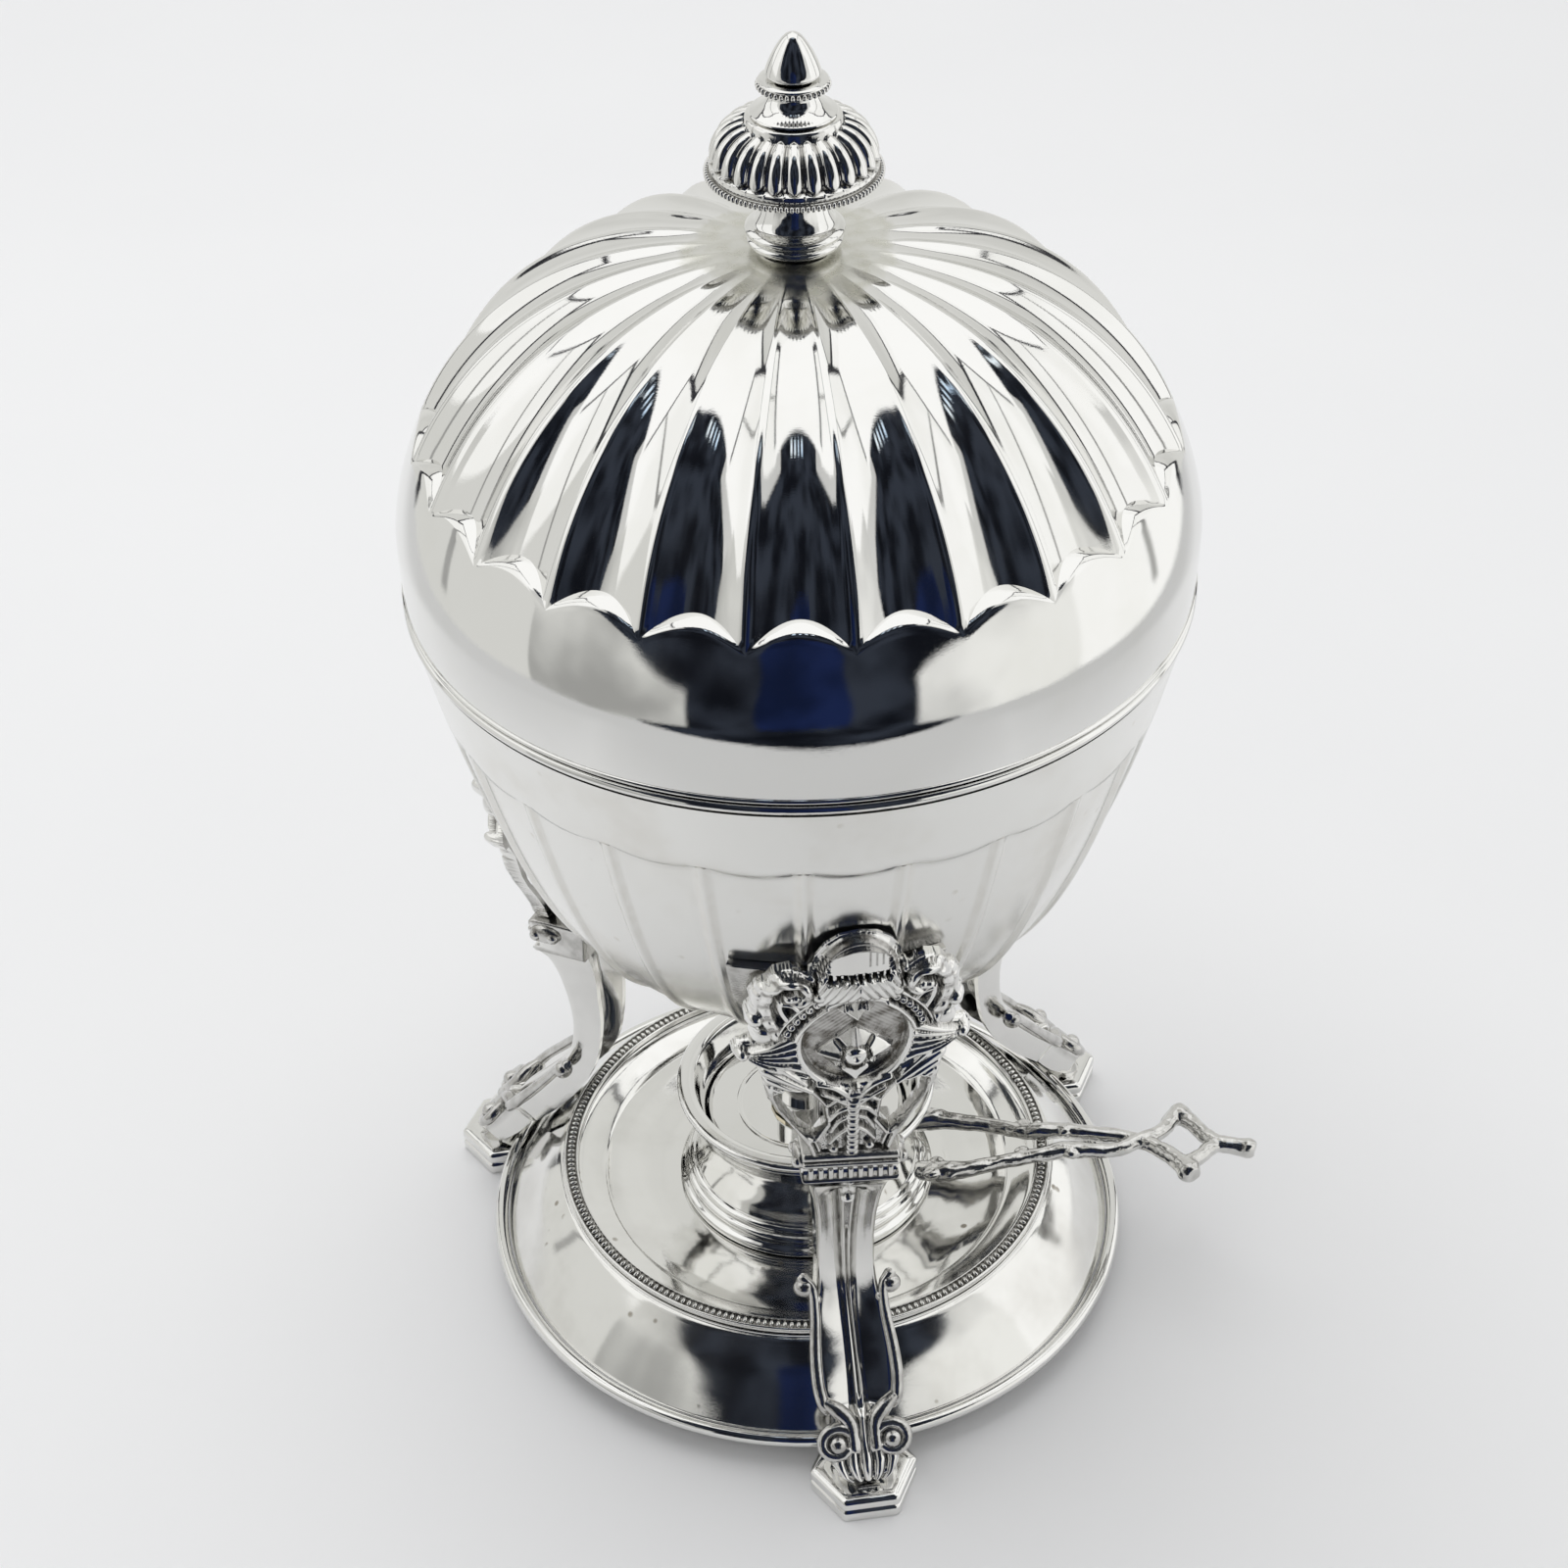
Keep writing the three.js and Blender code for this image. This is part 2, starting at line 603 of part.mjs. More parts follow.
function legFront() {
  const toe = plinthCentre + PLINTH_RADIUS * 0.52;
  return smoothLine([
    [kneeRadius + LEG_DEPTH + 2.4, capitalBottom],
    [kneeRadius + LEG_DEPTH + 0.2, KNEE_HEIGHT + 3],
    [kneeRadius + LEG_DEPTH + 0.6, KNEE_HEIGHT - 8],
    [kneeRadius + LEG_DEPTH + 4.4, KNEE_HEIGHT - 16.5],
    [plinthCentre - 7.0, trayShoulderHeight + 2.6],
    [plinthCentre - 1.0, trayShoulderHeight - 5.0],
    [toe - 0.9, plinthTop + 6.6],
    [toe, plinthTop + GAP],
  ], 16);
}

function makeColumn() {
  const back = legBack();
  const front = legFront();
  const side = [...back, [plinthCentre - 2.2, plinthTop + GAP], ...[...front].reverse()];
  const body = solid(sideSlab(side, LEG_WIDTH));
  const innerFront = front.slice(1, 14).map(([out, up]) => [out - LEG_WALL, up]);
  const behind = back.slice(1, 12).map(([out, up]) => [out - 6, up]);
  const hollow = solid(sideSlab([...behind, ...innerFront.reverse()], LEG_WIDTH - 2 * LEG_WALL));
  const capitalDepth = capitalFront - kneeRadius + 0.4;
  const capital = solid(new THREE.BoxGeometry(CAPITAL_WIDTH, capitalDepth, CAPITAL_HEIGHT)
    .translate(0, -(capitalFront - capitalDepth / 2), capitalBottom + CAPITAL_HEIGHT / 2));
  const scrolls = [-1, 1].map((side) => solid(ball(
    [2.6, SCROLL_RADIUS, SCROLL_RADIUS],
    [side * (LEG_WIDTH / 2 + 0.2), -(plinthCentre - 1.4), trayShoulderHeight - 6.6],
    10,
    6,
  )));
  return union([body.subtract(hollow), capital, ...scrolls]);
}

function makePlinth() {
  const groove = 0.45;
  const profile = [
    [0, 0],
    [PLINTH_RADIUS, 0],
    [PLINTH_RADIUS, PLINTH_HEIGHT * 0.42],
    [PLINTH_RADIUS - groove, PLINTH_HEIGHT * 0.46],
    [PLINTH_RADIUS - groove, PLINTH_HEIGHT * 0.52],
    [PLINTH_RADIUS, PLINTH_HEIGHT * 0.56],
    [PLINTH_RADIUS, PLINTH_HEIGHT * 0.84],
    [PLINTH_RADIUS - 1.0, PLINTH_HEIGHT],
    [0, PLINTH_HEIGHT],
  ];
  return turned(profile, 6).rotateZ(Math.PI / 6).translate(0, -plinthCentre, 0);
}

function makeLegs() {
  const lug = geometryOf(makeLug());
  const cartouche = geometryOf(makeCartouche());
  const column = geometryOf(makeColumn());
  const plinth = makePlinth();
  for (let i = 0; i < LEG_COUNT; i += 1) {
    const leg = new THREE.Group();
    leg.rotation.z = (i * 2 * Math.PI) / LEG_COUNT;
    coddler.add(leg);
    piece(`leg_lug_${i + 1}`, lug, castSilver(), leg);
    piece(`leg_cartouche_${i + 1}`, cartouche, castSilver(), leg);
    piece(`leg_column_${i + 1}`, column, castSilver(), leg);
    piece(`foot_plinth_${i + 1}`, plinth, castSilver(), leg);
  }
}

// Tray

function makeTray() {
  const beadSeat = TRAY_SHOULDER_RADIUS - 1.4 - TRAY_BEAD_RADIUS;
  const ledge = trayShoulderHeight - 0.2;
  const skirt = [
    [TRAY_RADIUS - TRAY_WIRE_RADIUS - GAP, trayRimHeight + 0.4],
    [TRAY_SHOULDER_RADIUS, trayShoulderHeight - 0.8],
    [TRAY_SHOULDER_RADIUS - 0.6, ledge],
  ];
  const well = [
    [TRAY_WELL_RADIUS, ledge],
    [TRAY_FLOOR_RADIUS, trayFloorHeight + 2.4],
    [(TRAY_FLOOR_RADIUS + BURNER_RADIUS) / 2, trayFloorHeight + 0.6],
    [BURNER_RADIUS + 2.0, trayFloorHeight],
    [0, trayFloorHeight],
  ];
  const shifted = (points, step) => points
    .map(([radius, height]) => [radius > 0 ? radius + step : 0, height - TRAY_WALL])
    .reverse();
  const underside = [...shifted(well, TRAY_WALL * 0.4), ...shifted(skirt, -TRAY_WALL * 0.7)];
  piece('tray_dish', turned([...underside, ...skirt, ...well], MEDIUM), silver());
  piece('tray_rim_wire', ringBody(TRAY_RADIUS, TRAY_WIRE_RADIUS, trayRimHeight, MEDIUM, 6), silver());
  const beadHeight = ledge + TRAY_BEAD_RADIUS + GAP;
  piece('tray_bead_ring', ringBody(beadSeat, TRAY_BEAD_RADIUS, beadHeight, MEDIUM, 5), castSilver());
}

// Burner

function makeBurner() {
  const plateTop = burnerTop - BURNER_RECESS;
  const lipInner = BURNER_RADIUS - BURNER_LIP_WIDTH;
  const wellRadius = lipInner - 2.2;
  const outside = [
    [0, burnerFoot],
    [BURNER_RADIUS, burnerFoot],
    [BURNER_RADIUS, burnerFoot + 1.6],
    [BURNER_RADIUS - 1.2, burnerFoot + 2.6],
    [BURNER_RADIUS - 1.4, burnerFoot + 4.6],
    [BURNER_WAIST_RADIUS + 1.0, burnerFoot + 6.6],
    [BURNER_WAIST_RADIUS, burnerFoot + BURNER_HEIGHT * 0.5],
    [BURNER_WAIST_RADIUS + 0.7, burnerFoot + BURNER_HEIGHT * 0.74],
    [BURNER_RADIUS - 0.9, burnerTop - 2.0],
    [BURNER_RADIUS, burnerTop - 1.0],
    [BURNER_RADIUS - 0.5, burnerTop],
    [lipInner, burnerTop],
    [lipInner - 0.8, burnerTop - 1.4],
    [wellRadius, plateTop],
  ];
  const chamber = [
    [wellRadius, plateTop - BURNER_WALL - 1.2],
    [BURNER_WAIST_RADIUS - BURNER_WALL - 0.6, burnerFoot + 8.0],
    [BURNER_RADIUS - BURNER_WALL - 2.6, burnerFoot + 4.4],
    [BURNER_RADIUS - BURNER_WALL - 2.6, burnerFoot + BURNER_WALL],
    [0, burnerFoot + BURNER_WALL],
  ];
  piece('burner_reservoir', turned([...outside, ...chamber], INNER), silver());

  const plateHole = WICK_TUBE_RADIUS + GAP;
  const plateEdge = wellRadius - GAP;
  const plate = [
    [plateHole, plateTop - BURNER_WALL],
    [plateEdge, plateTop - BURNER_WALL],
    [plateEdge, plateTop],
    [plateHole, plateTop],
  ];
  piece('burner_top_plate', turned(plate, INNER), silver());

  const tubeTop = plateTop + WICK_TUBE_RISE;
  const tubeBottom = burnerFoot + BURNER_WALL + 4.0;
  const tubeBore = WICK_TUBE_RADIUS - WICK_TUBE_WALL;
  const flange = WICK_TUBE_RADIUS + 2.4;
  const tube = [
    [tubeBore, tubeBottom],
    [WICK_TUBE_RADIUS, tubeBottom],
    [WICK_TUBE_RADIUS, plateTop + GAP],
    [flange, plateTop + GAP],
    [flange, plateTop + GAP + 1.0],
    [WICK_TUBE_RADIUS, plateTop + GAP + 1.0],
    [WICK_TUBE_RADIUS, tubeTop],
    [tubeBore, tubeTop],
  ];
  piece('burner_wick_tube', turned(tube, COARSE), brass());

  const wickLow = burnerFoot + BURNER_WALL + 1.0;
  const wick = [[0, wickLow], [WICK_RADIUS, wickLow], [WICK_RADIUS, tubeTop + 0.8], [0, tubeTop + 1.4]];
  piece('burner_wick', turned(wick, 12), cotton());

  const capInner = WICK_TUBE_RADIUS + SLIDING_FIT;
  const capOuter = capInner + SNUFFER_WALL;
  const capFoot = plateTop + GAP + 1.0 + GAP;
  const ceiling = tubeTop + 1.4 + 0.8;
  const cap = [
    [0, ceiling],
    [capInner - 1.6, ceiling - 0.4],
    [capInner, ceiling - 1.6],
    [capInner, capFoot],
    [capOuter + 0.8, capFoot],
    [capOuter + 0.8, capFoot + 0.8],
    [capOuter, capFoot + 0.8],
    [capOuter, ceiling - 1.2],
    [capOuter - 1.8, ceiling + SNUFFER_WALL - 0.1],
    [1.0, ceiling + SNUFFER_WALL + 0.3],
    [1.0, ceiling + SNUFFER_WALL + 1.0],
    [SNUFFER_KNOB_RADIUS, ceiling + SNUFFER_WALL + 2.2],
    [SNUFFER_KNOB_RADIUS * 0.7, ceiling + SNUFFER_WALL + 3.4],
    [0, ceiling + SNUFFER_WALL + 3.8],
  ];
  piece('burner_snuffer', turned(cap, COARSE), silver());
}

// A round twig along a route of [along, sideways, up] points
function twig(route, radius, steps, parts = 6) {
  const section = new THREE.Shape();
  for (let i = 0; i < parts; i += 1) {
    const angle = (i * 2 * Math.PI) / parts;
    const corner = [radius * Math.cos(angle), radius * Math.sin(angle)];
    if (i === 0) section.moveTo(...corner);
    else section.lineTo(...corner);
  }
  section.closePath();
  const path = new THREE.CatmullRomCurve3(route.map((point) => new THREE.Vector3(...point)));
  return solid(new THREE.ExtrudeGeometry(section, { steps, bevelEnabled: false, extrudePath: path }));
}

function makeHandle() {
  const root = BURNER_WAIST_RADIUS + 0.9 + GAP;
  const reach = HANDLE_REACH + BURNER_RADIUS;
  const merge = reach - 38.2;
  const crossing = reach - 20.4;
  const widest = reach - 13.1;
  const junction = reach - 8.8;
  const level = (along) => trayFloorHeight + HANDLE_HEIGHT + (HANDLE_RISE * along) / reach;
  const at = (along, sideways) => [along, sideways, level(along)];
  const arm = (side) => {
    const foot = ROOT_OFFSET + side * TWIG_SPREAD;
    const rootAlong = Math.sqrt(root * root - foot * foot) + 1.2;
    return twig([
      at(rootAlong, foot),
      at(BURNER_RADIUS + 3, foot * 0.92),
      at((BURNER_RADIUS + merge) / 2, foot * 0.52 + side * 1.2),
      at(merge, side * 1.4),
      at((merge + crossing) / 2, side * 1.2),
      at(crossing, -side * 0.4),
      at(widest, -side * LOOP_HALF_WIDTH),
    ], TWIG_RADIUS, 13);
  };
  const closing = (side) => twig([
    at(widest, side * LOOP_HALF_WIDTH),
    at(junction, side * 0.4),
    at(junction + 2, -0.6),
  ], TWIG_RADIUS, 3);
  const tip = twig([at(junction, -0.4), at(reach, -2.0)], TWIG_RADIUS, 2);
  const stubs = [-1, 1].map((side) => twig([
    at(widest, side * (LOOP_HALF_WIDTH - 1)),
    at(widest - 0.4, side * (LOOP_HALF_WIDTH + 2.2)),
  ], TWIG_RADIUS * 1.15, 1));
  const knots = [
    [merge + 3.8, -3.0],
    [merge + 9, 2.2],
    [BURNER_RADIUS + 1.6, ROOT_OFFSET + TWIG_SPREAD],
  ];
  const knob = [1.9, 1.5, 1.5];
  const knobs = knots.map(([along, sideways]) => solid(ball(knob, at(along, sideways), 6, 4)));
  const handle = union([arm(1), arm(-1), closing(1), closing(-1), tip, ...stubs, ...knobs]);
  piece('burner_handle', geometryOf(handle).rotateZ(degrees(HANDLE_AZIMUTH - 90)), castSilver());
}

// Egg rack

function makeRack() {
  const ringHeight = rackFloor + EGG_RING_RISE;
  const half = EGG_RING_RADIUS + RACK_WIRE_RADIUS + GAP / 2;
  const ringCentre = half / Math.sin(Math.PI / EGG_COUNT);
  const hubRadius = ringCentre - EGG_RING_RADIUS - RACK_WIRE_RADIUS - GAP;
  for (let i = 0; i < EGG_COUNT; i += 1) {
    const azimuth = ((i + 0.5) * 2 * Math.PI) / EGG_COUNT;
    const ring = ringBody(EGG_RING_RADIUS, RACK_WIRE_RADIUS, ringHeight, 24, 5)
      .translate(ringCentre * Math.cos(azimuth), ringCentre * Math.sin(azimuth), 0);
    piece(`egg_ring_${i + 1}`, ring, silver());
  }
  const stemHole = RACK_STEM_RADIUS + GAP;
  const hub = [
    [stemHole, ringHeight - HUB_HEIGHT / 2],
    [hubRadius, ringHeight - HUB_HEIGHT / 4],
    [hubRadius, ringHeight + HUB_HEIGHT / 4],
    [stemHole, ringHeight + HUB_HEIGHT / 2],
  ];
  piece('rack_hub', turned(hub, COARSE), silver());

  const seat = rackSeat();
  piece('rack_foot_ring', ringBody(RACK_FOOT_RADIUS, RACK_WIRE_RADIUS, seat, INNER, 5), silver());
  const armLength = 2 * (RACK_FOOT_RADIUS - RACK_WIRE_RADIUS - GAP);
  const wire = new THREE.CylinderGeometry(RACK_WIRE_RADIUS, RACK_WIRE_RADIUS, armLength, 8);
  const arms = [1, 3].map((eighths) => solid(wire.clone().rotateZ((eighths * Math.PI) / 4)));
  const cross = union([
    ...arms,
    solid(new THREE.CylinderGeometry(5, 5, HUB_HEIGHT, COARSE).rotateX(Math.PI / 2)),
  ]);
  piece('rack_cross', geometryOf(cross).translate(0, 0, seat), silver());

  const stemFoot = seat + HUB_HEIGHT / 2 + GAP;
  const stem = new THREE.CylinderGeometry(RACK_STEM_RADIUS, RACK_STEM_RADIUS, RACK_STEM_LENGTH, 12)
    .rotateX(Math.PI / 2)
    .translate(0, 0, stemFoot + RACK_STEM_LENGTH / 2);
  piece('rack_stem', stem, silver());
  const loopCentre = stemFoot + RACK_STEM_LENGTH + GAP + RACK_LOOP_RADIUS + RACK_WIRE_RADIUS;
  const loop = new THREE.TorusGeometry(RACK_LOOP_RADIUS, RACK_WIRE_RADIUS, 5, 20)
    .rotateX(Math.PI / 2)
    .translate(0, 0, loopCentre);
  piece('rack_loop', loop, silver());
}

// The rack stands where its foot ring meets the curve of the bowl.
function rackSeat() {
  const reach = RACK_FOOT_RADIUS + RACK_WIRE_RADIUS + GAP;
  let height = rackFloor + 0.1;
  while (insideRadius(height) < reach) height += 0.1;
  return height + RACK_WIRE_RADIUS;
}

// Half the clear width inside the bowl, which is turned in flats, at one height
function insideRadius(height) {
  const side = [...bowlSide(-BOWL_WALL), [0, rackFloor]];
  const i = Math.max(side.findIndex((point) => point[1] <= height), 1);
  const [upperRadius, upper] = side[i - 1];
  const [lowerRadius, lower] = side[i];
  const share = (height - lower) / (upper - lower);
  return (lowerRadius + share * (upperRadius - lowerRadius)) * Math.cos(Math.PI / INNER);
}

makeBowl();
makeLid();
makeFinial();
makeLegs();
makeTray();
makeBurner();
makeHandle();
makeRack();

// The origin is moved to the middle of the base.
const box = new THREE.Box3().setFromObject(coddler, true);
const middle = box.getCenter(new THREE.Vector3());
coddler.position.set(-middle.x, -middle.y, -box.min.z);
coddler.updateMatrixWorld(true);

export default coddler;
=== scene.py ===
import math

import bmesh
import bpy
import numpy as np
from mathutils import Matrix, Vector


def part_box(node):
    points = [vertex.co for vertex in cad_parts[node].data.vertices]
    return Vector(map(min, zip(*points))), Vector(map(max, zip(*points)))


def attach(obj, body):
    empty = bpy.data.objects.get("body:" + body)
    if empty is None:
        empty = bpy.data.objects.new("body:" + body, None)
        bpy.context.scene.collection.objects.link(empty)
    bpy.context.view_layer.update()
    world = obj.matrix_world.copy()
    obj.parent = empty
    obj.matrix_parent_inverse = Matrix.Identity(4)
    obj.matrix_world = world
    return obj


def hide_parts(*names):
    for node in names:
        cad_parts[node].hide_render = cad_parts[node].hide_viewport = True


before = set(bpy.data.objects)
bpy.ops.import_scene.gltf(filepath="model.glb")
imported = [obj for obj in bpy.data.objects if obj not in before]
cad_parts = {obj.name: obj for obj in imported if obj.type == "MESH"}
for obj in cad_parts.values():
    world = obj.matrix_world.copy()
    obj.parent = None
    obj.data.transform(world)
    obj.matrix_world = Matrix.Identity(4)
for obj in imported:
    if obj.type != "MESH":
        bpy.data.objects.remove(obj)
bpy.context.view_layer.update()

# Shapes are worked out in millimetres about the middle of the bowl, with the front leg towards -Y,
# and then moved to the CAD's place.
MM = 0.001
rim_low, rim_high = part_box("bowl_rim")
AXIS = np.array([(rim_low[0] + rim_high[0]) / 2, (rim_low[1] + rim_high[1]) / 2, 0.0])
TURN = math.radians(-8.5)  # the flutes, panels, grip and camera, about Z, against the front leg

bpy.context.scene.view_settings.view_transform = "Standard"


# ---- materials ----

class Nodes:
    """Short forms for building the nodes of a material or world."""

    def __init__(self, owner):
        owner.use_nodes = True
        self.tree = owner.node_tree

    def add(self, kind, **values):
        """A node; each value goes to the socket or setting of its name, and an output is linked."""
        node = self.tree.nodes.new(kind)
        for name, value in values.items():
            socket = name.replace("_", " ")
            if socket not in node.inputs:
                setattr(node, name, value)
            elif isinstance(value, bpy.types.NodeSocket):
                self.link(value, node.inputs[socket])
            else:
                node.inputs[socket].default_value = value
        return node

    def link(self, source, target):
        self.tree.links.new(source, target)

    def fill(self, sockets, values):
        for socket, value in zip(sockets, values):
            if isinstance(value, bpy.types.NodeSocket):
                self.link(value, socket)
            else:
                socket.default_value = value

    def noise(self, scale, detail, vector, roughness=0.5):
        return self.add("ShaderNodeTexNoise", Scale=scale, Detail=detail, Roughness=roughness,
                        Vector=vector).outputs["Fac"]

    def ramp(self, value, low, high, to_low=0.0, to_high=1.0):
        return self.add("ShaderNodeMapRange", interpolation_type="SMOOTHSTEP", Value=value, From_Min=low,
                        From_Max=high, To_Min=to_low, To_Max=to_high).outputs["Result"]

    def math(self, operation, a, b):
        node = self.add("ShaderNodeMath", operation=operation)
        self.fill(node.inputs, (a, b))
        return node.outputs[0]

    def mix(self, factor, a, b):
        node = self.add("ShaderNodeMix", data_type="RGBA")
        self.fill((node.inputs["Factor"], node.inputs["A"], node.inputs["B"]), (factor, a, b))
        return node.outputs["Result"]

    def blend(self, factor, a, b):
        """Between two shaders."""
        node = self.add("ShaderNodeMixShader")
        self.fill(node.inputs, (factor, a.outputs[0], b.outputs[0]))
        return node

    def bump(self, shader, height, strength, distance):
        node = self.add("ShaderNodeBump", Strength=strength, Distance=distance, Height=height)
        self.link(node.outputs["Normal"], shader.inputs["Normal"])


def start_material(name):
    """A new material with its node helper, its shader and its object coordinates."""
    material = bpy.data.materials.new(name)
    n = Nodes(material)
    return material, n, n.tree.nodes["Principled BSDF"], n.add("ShaderNodeTexCoord").outputs["Object"]


def silver(name, color, tarnish, roughness, cloud=0.25, hollow=0.8, grain=0.03, pits=0.0, dull=0.22, punched=0.0):
    """Silver plate: a faint cloud, tarnish and painted shade in the hollows, polishing marks, and pits and punched
    dots if any.
    """
    material, n, shader, place = start_material(name)
    shader.inputs["Metallic"].default_value = 1.0
    hollows = n.add("ShaderNodeAttribute", attribute_name="hollow").outputs["Fac"]
    mottle = n.ramp(n.noise(420.0, 3.0, place), 0.35, 0.7, 0.55, 1.0)
    # the hollow attribute holds both tarnish and painted shade; each darkens the colour towards tarnish
    deep = n.math("MULTIPLY", n.math("MULTIPLY", hollows, mottle), hollow)
    clouds = n.ramp(n.noise(38.0, 4.0, place, 0.6), 0.45, 0.75)
    tarnish_and_shade = n.math("MAXIMUM", deep, n.math("MULTIPLY", clouds, cloud))
    if pits:
        spots = n.add("ShaderNodeTexVoronoi", Scale=260.0, Vector=place).outputs["Distance"]
        near = n.ramp(spots, 0.10, 0.22, 1.0, 0.0)
        patch = n.ramp(n.noise(95.0, 2.0, place), 0.56, 0.66, 0.0, pits)
        tarnish_and_shade = n.math("MAXIMUM", tarnish_and_shade, n.math("MULTIPLY", near, patch))
    n.link(n.mix(tarnish_and_shade, (*color, 1), (*tarnish, 1)), shader.inputs["Base Color"])
    rough = n.math("ADD", n.math("MULTIPLY", tarnish_and_shade, dull), roughness)
    smear = n.ramp(n.noise(60.0, 5.0, place, 0.7), 0.5, 0.8, 0.0, 0.035)
    n.link(n.math("ADD", rough, smear), shader.inputs["Roughness"])
    stretched = n.add("ShaderNodeMapping", Vector=place, Scale=(1.0, 1.0, 14.0)).outputs["Vector"]
    marks = n.math("MULTIPLY", n.noise(900.0, 2.0, stretched), 0.12)
    height = n.math("ADD", marks, n.noise(55.0, 2.0, place))
    if punched:
        dots = n.math("MULTIPLY", n.noise(2300.0, 1.0, place), n.math("MULTIPLY", hollows, punched))
        height = n.math("ADD", height, dots)
    n.bump(shader, height, grain, 0.001)
    return material


def cotton():
    material, n, shader, place = start_material("cotton_wick")
    shader.inputs["Roughness"].default_value = 0.95
    weave = n.add("ShaderNodeTexWave", Scale=700.0, Distortion=1.5, Vector=place).outputs["Fac"]
    n.link(n.mix(weave, (0.82, 0.78, 0.68, 1), (0.55, 0.50, 0.42, 1)), shader.inputs["Base Color"])
    n.bump(shader, weave, 0.6, 0.0004)
    return material


POLISHED = silver("polished_silver", (0.81, 0.807, 0.79), (0.60, 0.595, 0.52), 0.045, cloud=0.16, dull=0.34)
SATIN = silver("satin_silver", (0.82, 0.818, 0.795), (0.54, 0.50, 0.42), 0.17, cloud=0.30, grain=0.05, pits=0.35)
CAST = silver("cast_silver", (0.81, 0.805, 0.785), (0.10, 0.09, 0.075), 0.075, cloud=0.10, hollow=0.95,
              grain=0.05, punched=2.2)
TRAY = silver("tray_silver", (0.82, 0.817, 0.795), (0.30, 0.27, 0.22), 0.075, cloud=0.22, grain=0.05, pits=0.9)
RACK = silver("rack_silver", (0.82, 0.81, 0.78), (0.45, 0.40, 0.32), 0.12, cloud=0.35)
BRASS = silver("worn_brass", (0.76, 0.69, 0.52), (0.34, 0.28, 0.18), 0.22, cloud=0.6)
COTTON = cotton()


# ---- mesh helpers; a skin is a pair of points in millimetres and faces ----

def vectors(collection, field):
    values = np.empty(len(collection) * 3)
    collection.foreach_get(field, values)
    return values.reshape(-1, 3)


def hollow_of(skin, scale):
    """How far each point lies in a hollow, 0 to 1, from the mean of its neighbours along its normal."""
    verts, faces = skin
    mesh = bpy.data.meshes.new("measure")
    mesh.from_pydata(verts.tolist(), [], faces)
    mesh.update()
    edges = np.empty(len(mesh.edges) * 2, dtype=np.int64)
    mesh.edges.foreach_get("vertices", edges)
    one, other = edges.reshape(-1, 2).T
    normals = vectors(mesh.vertex_normals, "vector")
    bpy.data.meshes.remove(mesh)
    neighbours = np.maximum(np.bincount(edges, minlength=len(verts)), 1)[:, None]
    smooth = verts.copy()
    for _ in range(10):
        total = np.zeros_like(smooth)
        np.add.at(total, one, smooth[other])
        np.add.at(total, other, smooth[one])
        smooth = 0.5 * smooth + 0.5 * total / neighbours
    lift = np.einsum("ij,ij->i", smooth - verts, normals)
    return np.clip(lift / scale, 0, 1)


def paint(mesh, hollow):
    layer = mesh.attributes.new("hollow", "FLOAT", "POINT")
    layer.data.foreach_set("value", np.asarray(hollow, dtype=np.float32))


def piece(name, skin, body, material, stands_for=(), sharp=32, hollow=None):
    """An object in its place; edges bent by more than sharp degrees stay crisp, hollow is its tarnish and painted
    shade.
    """
    verts, faces = skin
    mesh = bpy.data.meshes.new(name)
    mesh.from_pydata((np.asarray(verts) * MM + AXIS).tolist(), [], faces)
    mesh.update()
    work = bmesh.new()
    work.from_mesh(mesh)
    bmesh.ops.recalc_face_normals(work, faces=work.faces)
    work.to_mesh(mesh)
    work.free()
    mesh.shade_smooth()
    mesh.set_sharp_from_angle(angle=math.radians(sharp))
    if hollow is not None:
        paint(mesh, hollow)
    mesh.materials.append(material)
    obj = bpy.data.objects.new(name, mesh)
    bpy.context.scene.collection.objects.link(obj)
    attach(obj, body)
    if stands_for:
        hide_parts(*stands_for)
    return obj


def extent(node):
    """A CAD node's outer radius, lowest height and highest height in millimetres."""
    low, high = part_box(node)
    return (high[0] - low[0]) / 2 / MM, low[2] / MM, high[2] / MM


def rounded(points, steps=5, lift=0.0):
    """A profile from [r, z] or [r, z, radius] points, raised by lift; a corner with a radius becomes an arc."""
    out = []
    for i, (r, z, *radius) in enumerate(points):
        here = np.array([r, z])
        if not radius or i == 0 or i == len(points) - 1:
            out.append(here)
            continue
        before = np.array(points[i - 1][:2]) - here
        after = np.array(points[i + 1][:2]) - here
        reach = min(radius[0], 0.49 * np.linalg.norm(before), 0.49 * np.linalg.norm(after))
        start = here + before / np.linalg.norm(before) * reach
        end = here + after / np.linalg.norm(after) * reach
        for t in np.linspace(0, 1, steps + 1):
            out.append((1 - t) ** 2 * start + 2 * t * (1 - t) * here + t * t * end)
    return np.array(out) + [0, lift]


def spline(points, count):
    """An evenly stepped Catmull-Rom curve through points of any width."""
    p = np.array([points[0], *points, points[-1]], dtype=float)
    spans = len(points) - 1
    out = []
    for k in range(count + 1):
        t = k / count * spans
        i = min(int(t), spans - 1)
        t -= i
        a, b, c, d = p[i:i + 4]
        out.append(0.5 * (2 * b + (c - a) * t + (2 * a - 5 * b + 4 * c - d) * t * t
                          + (3 * b - a - 3 * c + d) * t ** 3))
    return np.array(out)


def measured(line, side):
    """The length along an [r, z] line, and its normals on the right (1) or left (-1) of its way."""
    length = np.concatenate([[0], np.cumsum(np.hypot(*np.diff(line, axis=0).T))])
    tangent = np.gradient(line, length, axis=0)
    normal = side * np.stack([tangent[:, 1], -tangent[:, 0]], axis=1)
    return length, normal / np.linalg.norm(normal, axis=1)[:, None]


def bands(pairs, per):
    """Quads between rings of per points each; a pair says which ring meets which."""
    return [(i * per + k, i * per + (k + 1) % per, j * per + (k + 1) % per, j * per + k)
            for i, j in pairs for k in range(per)]


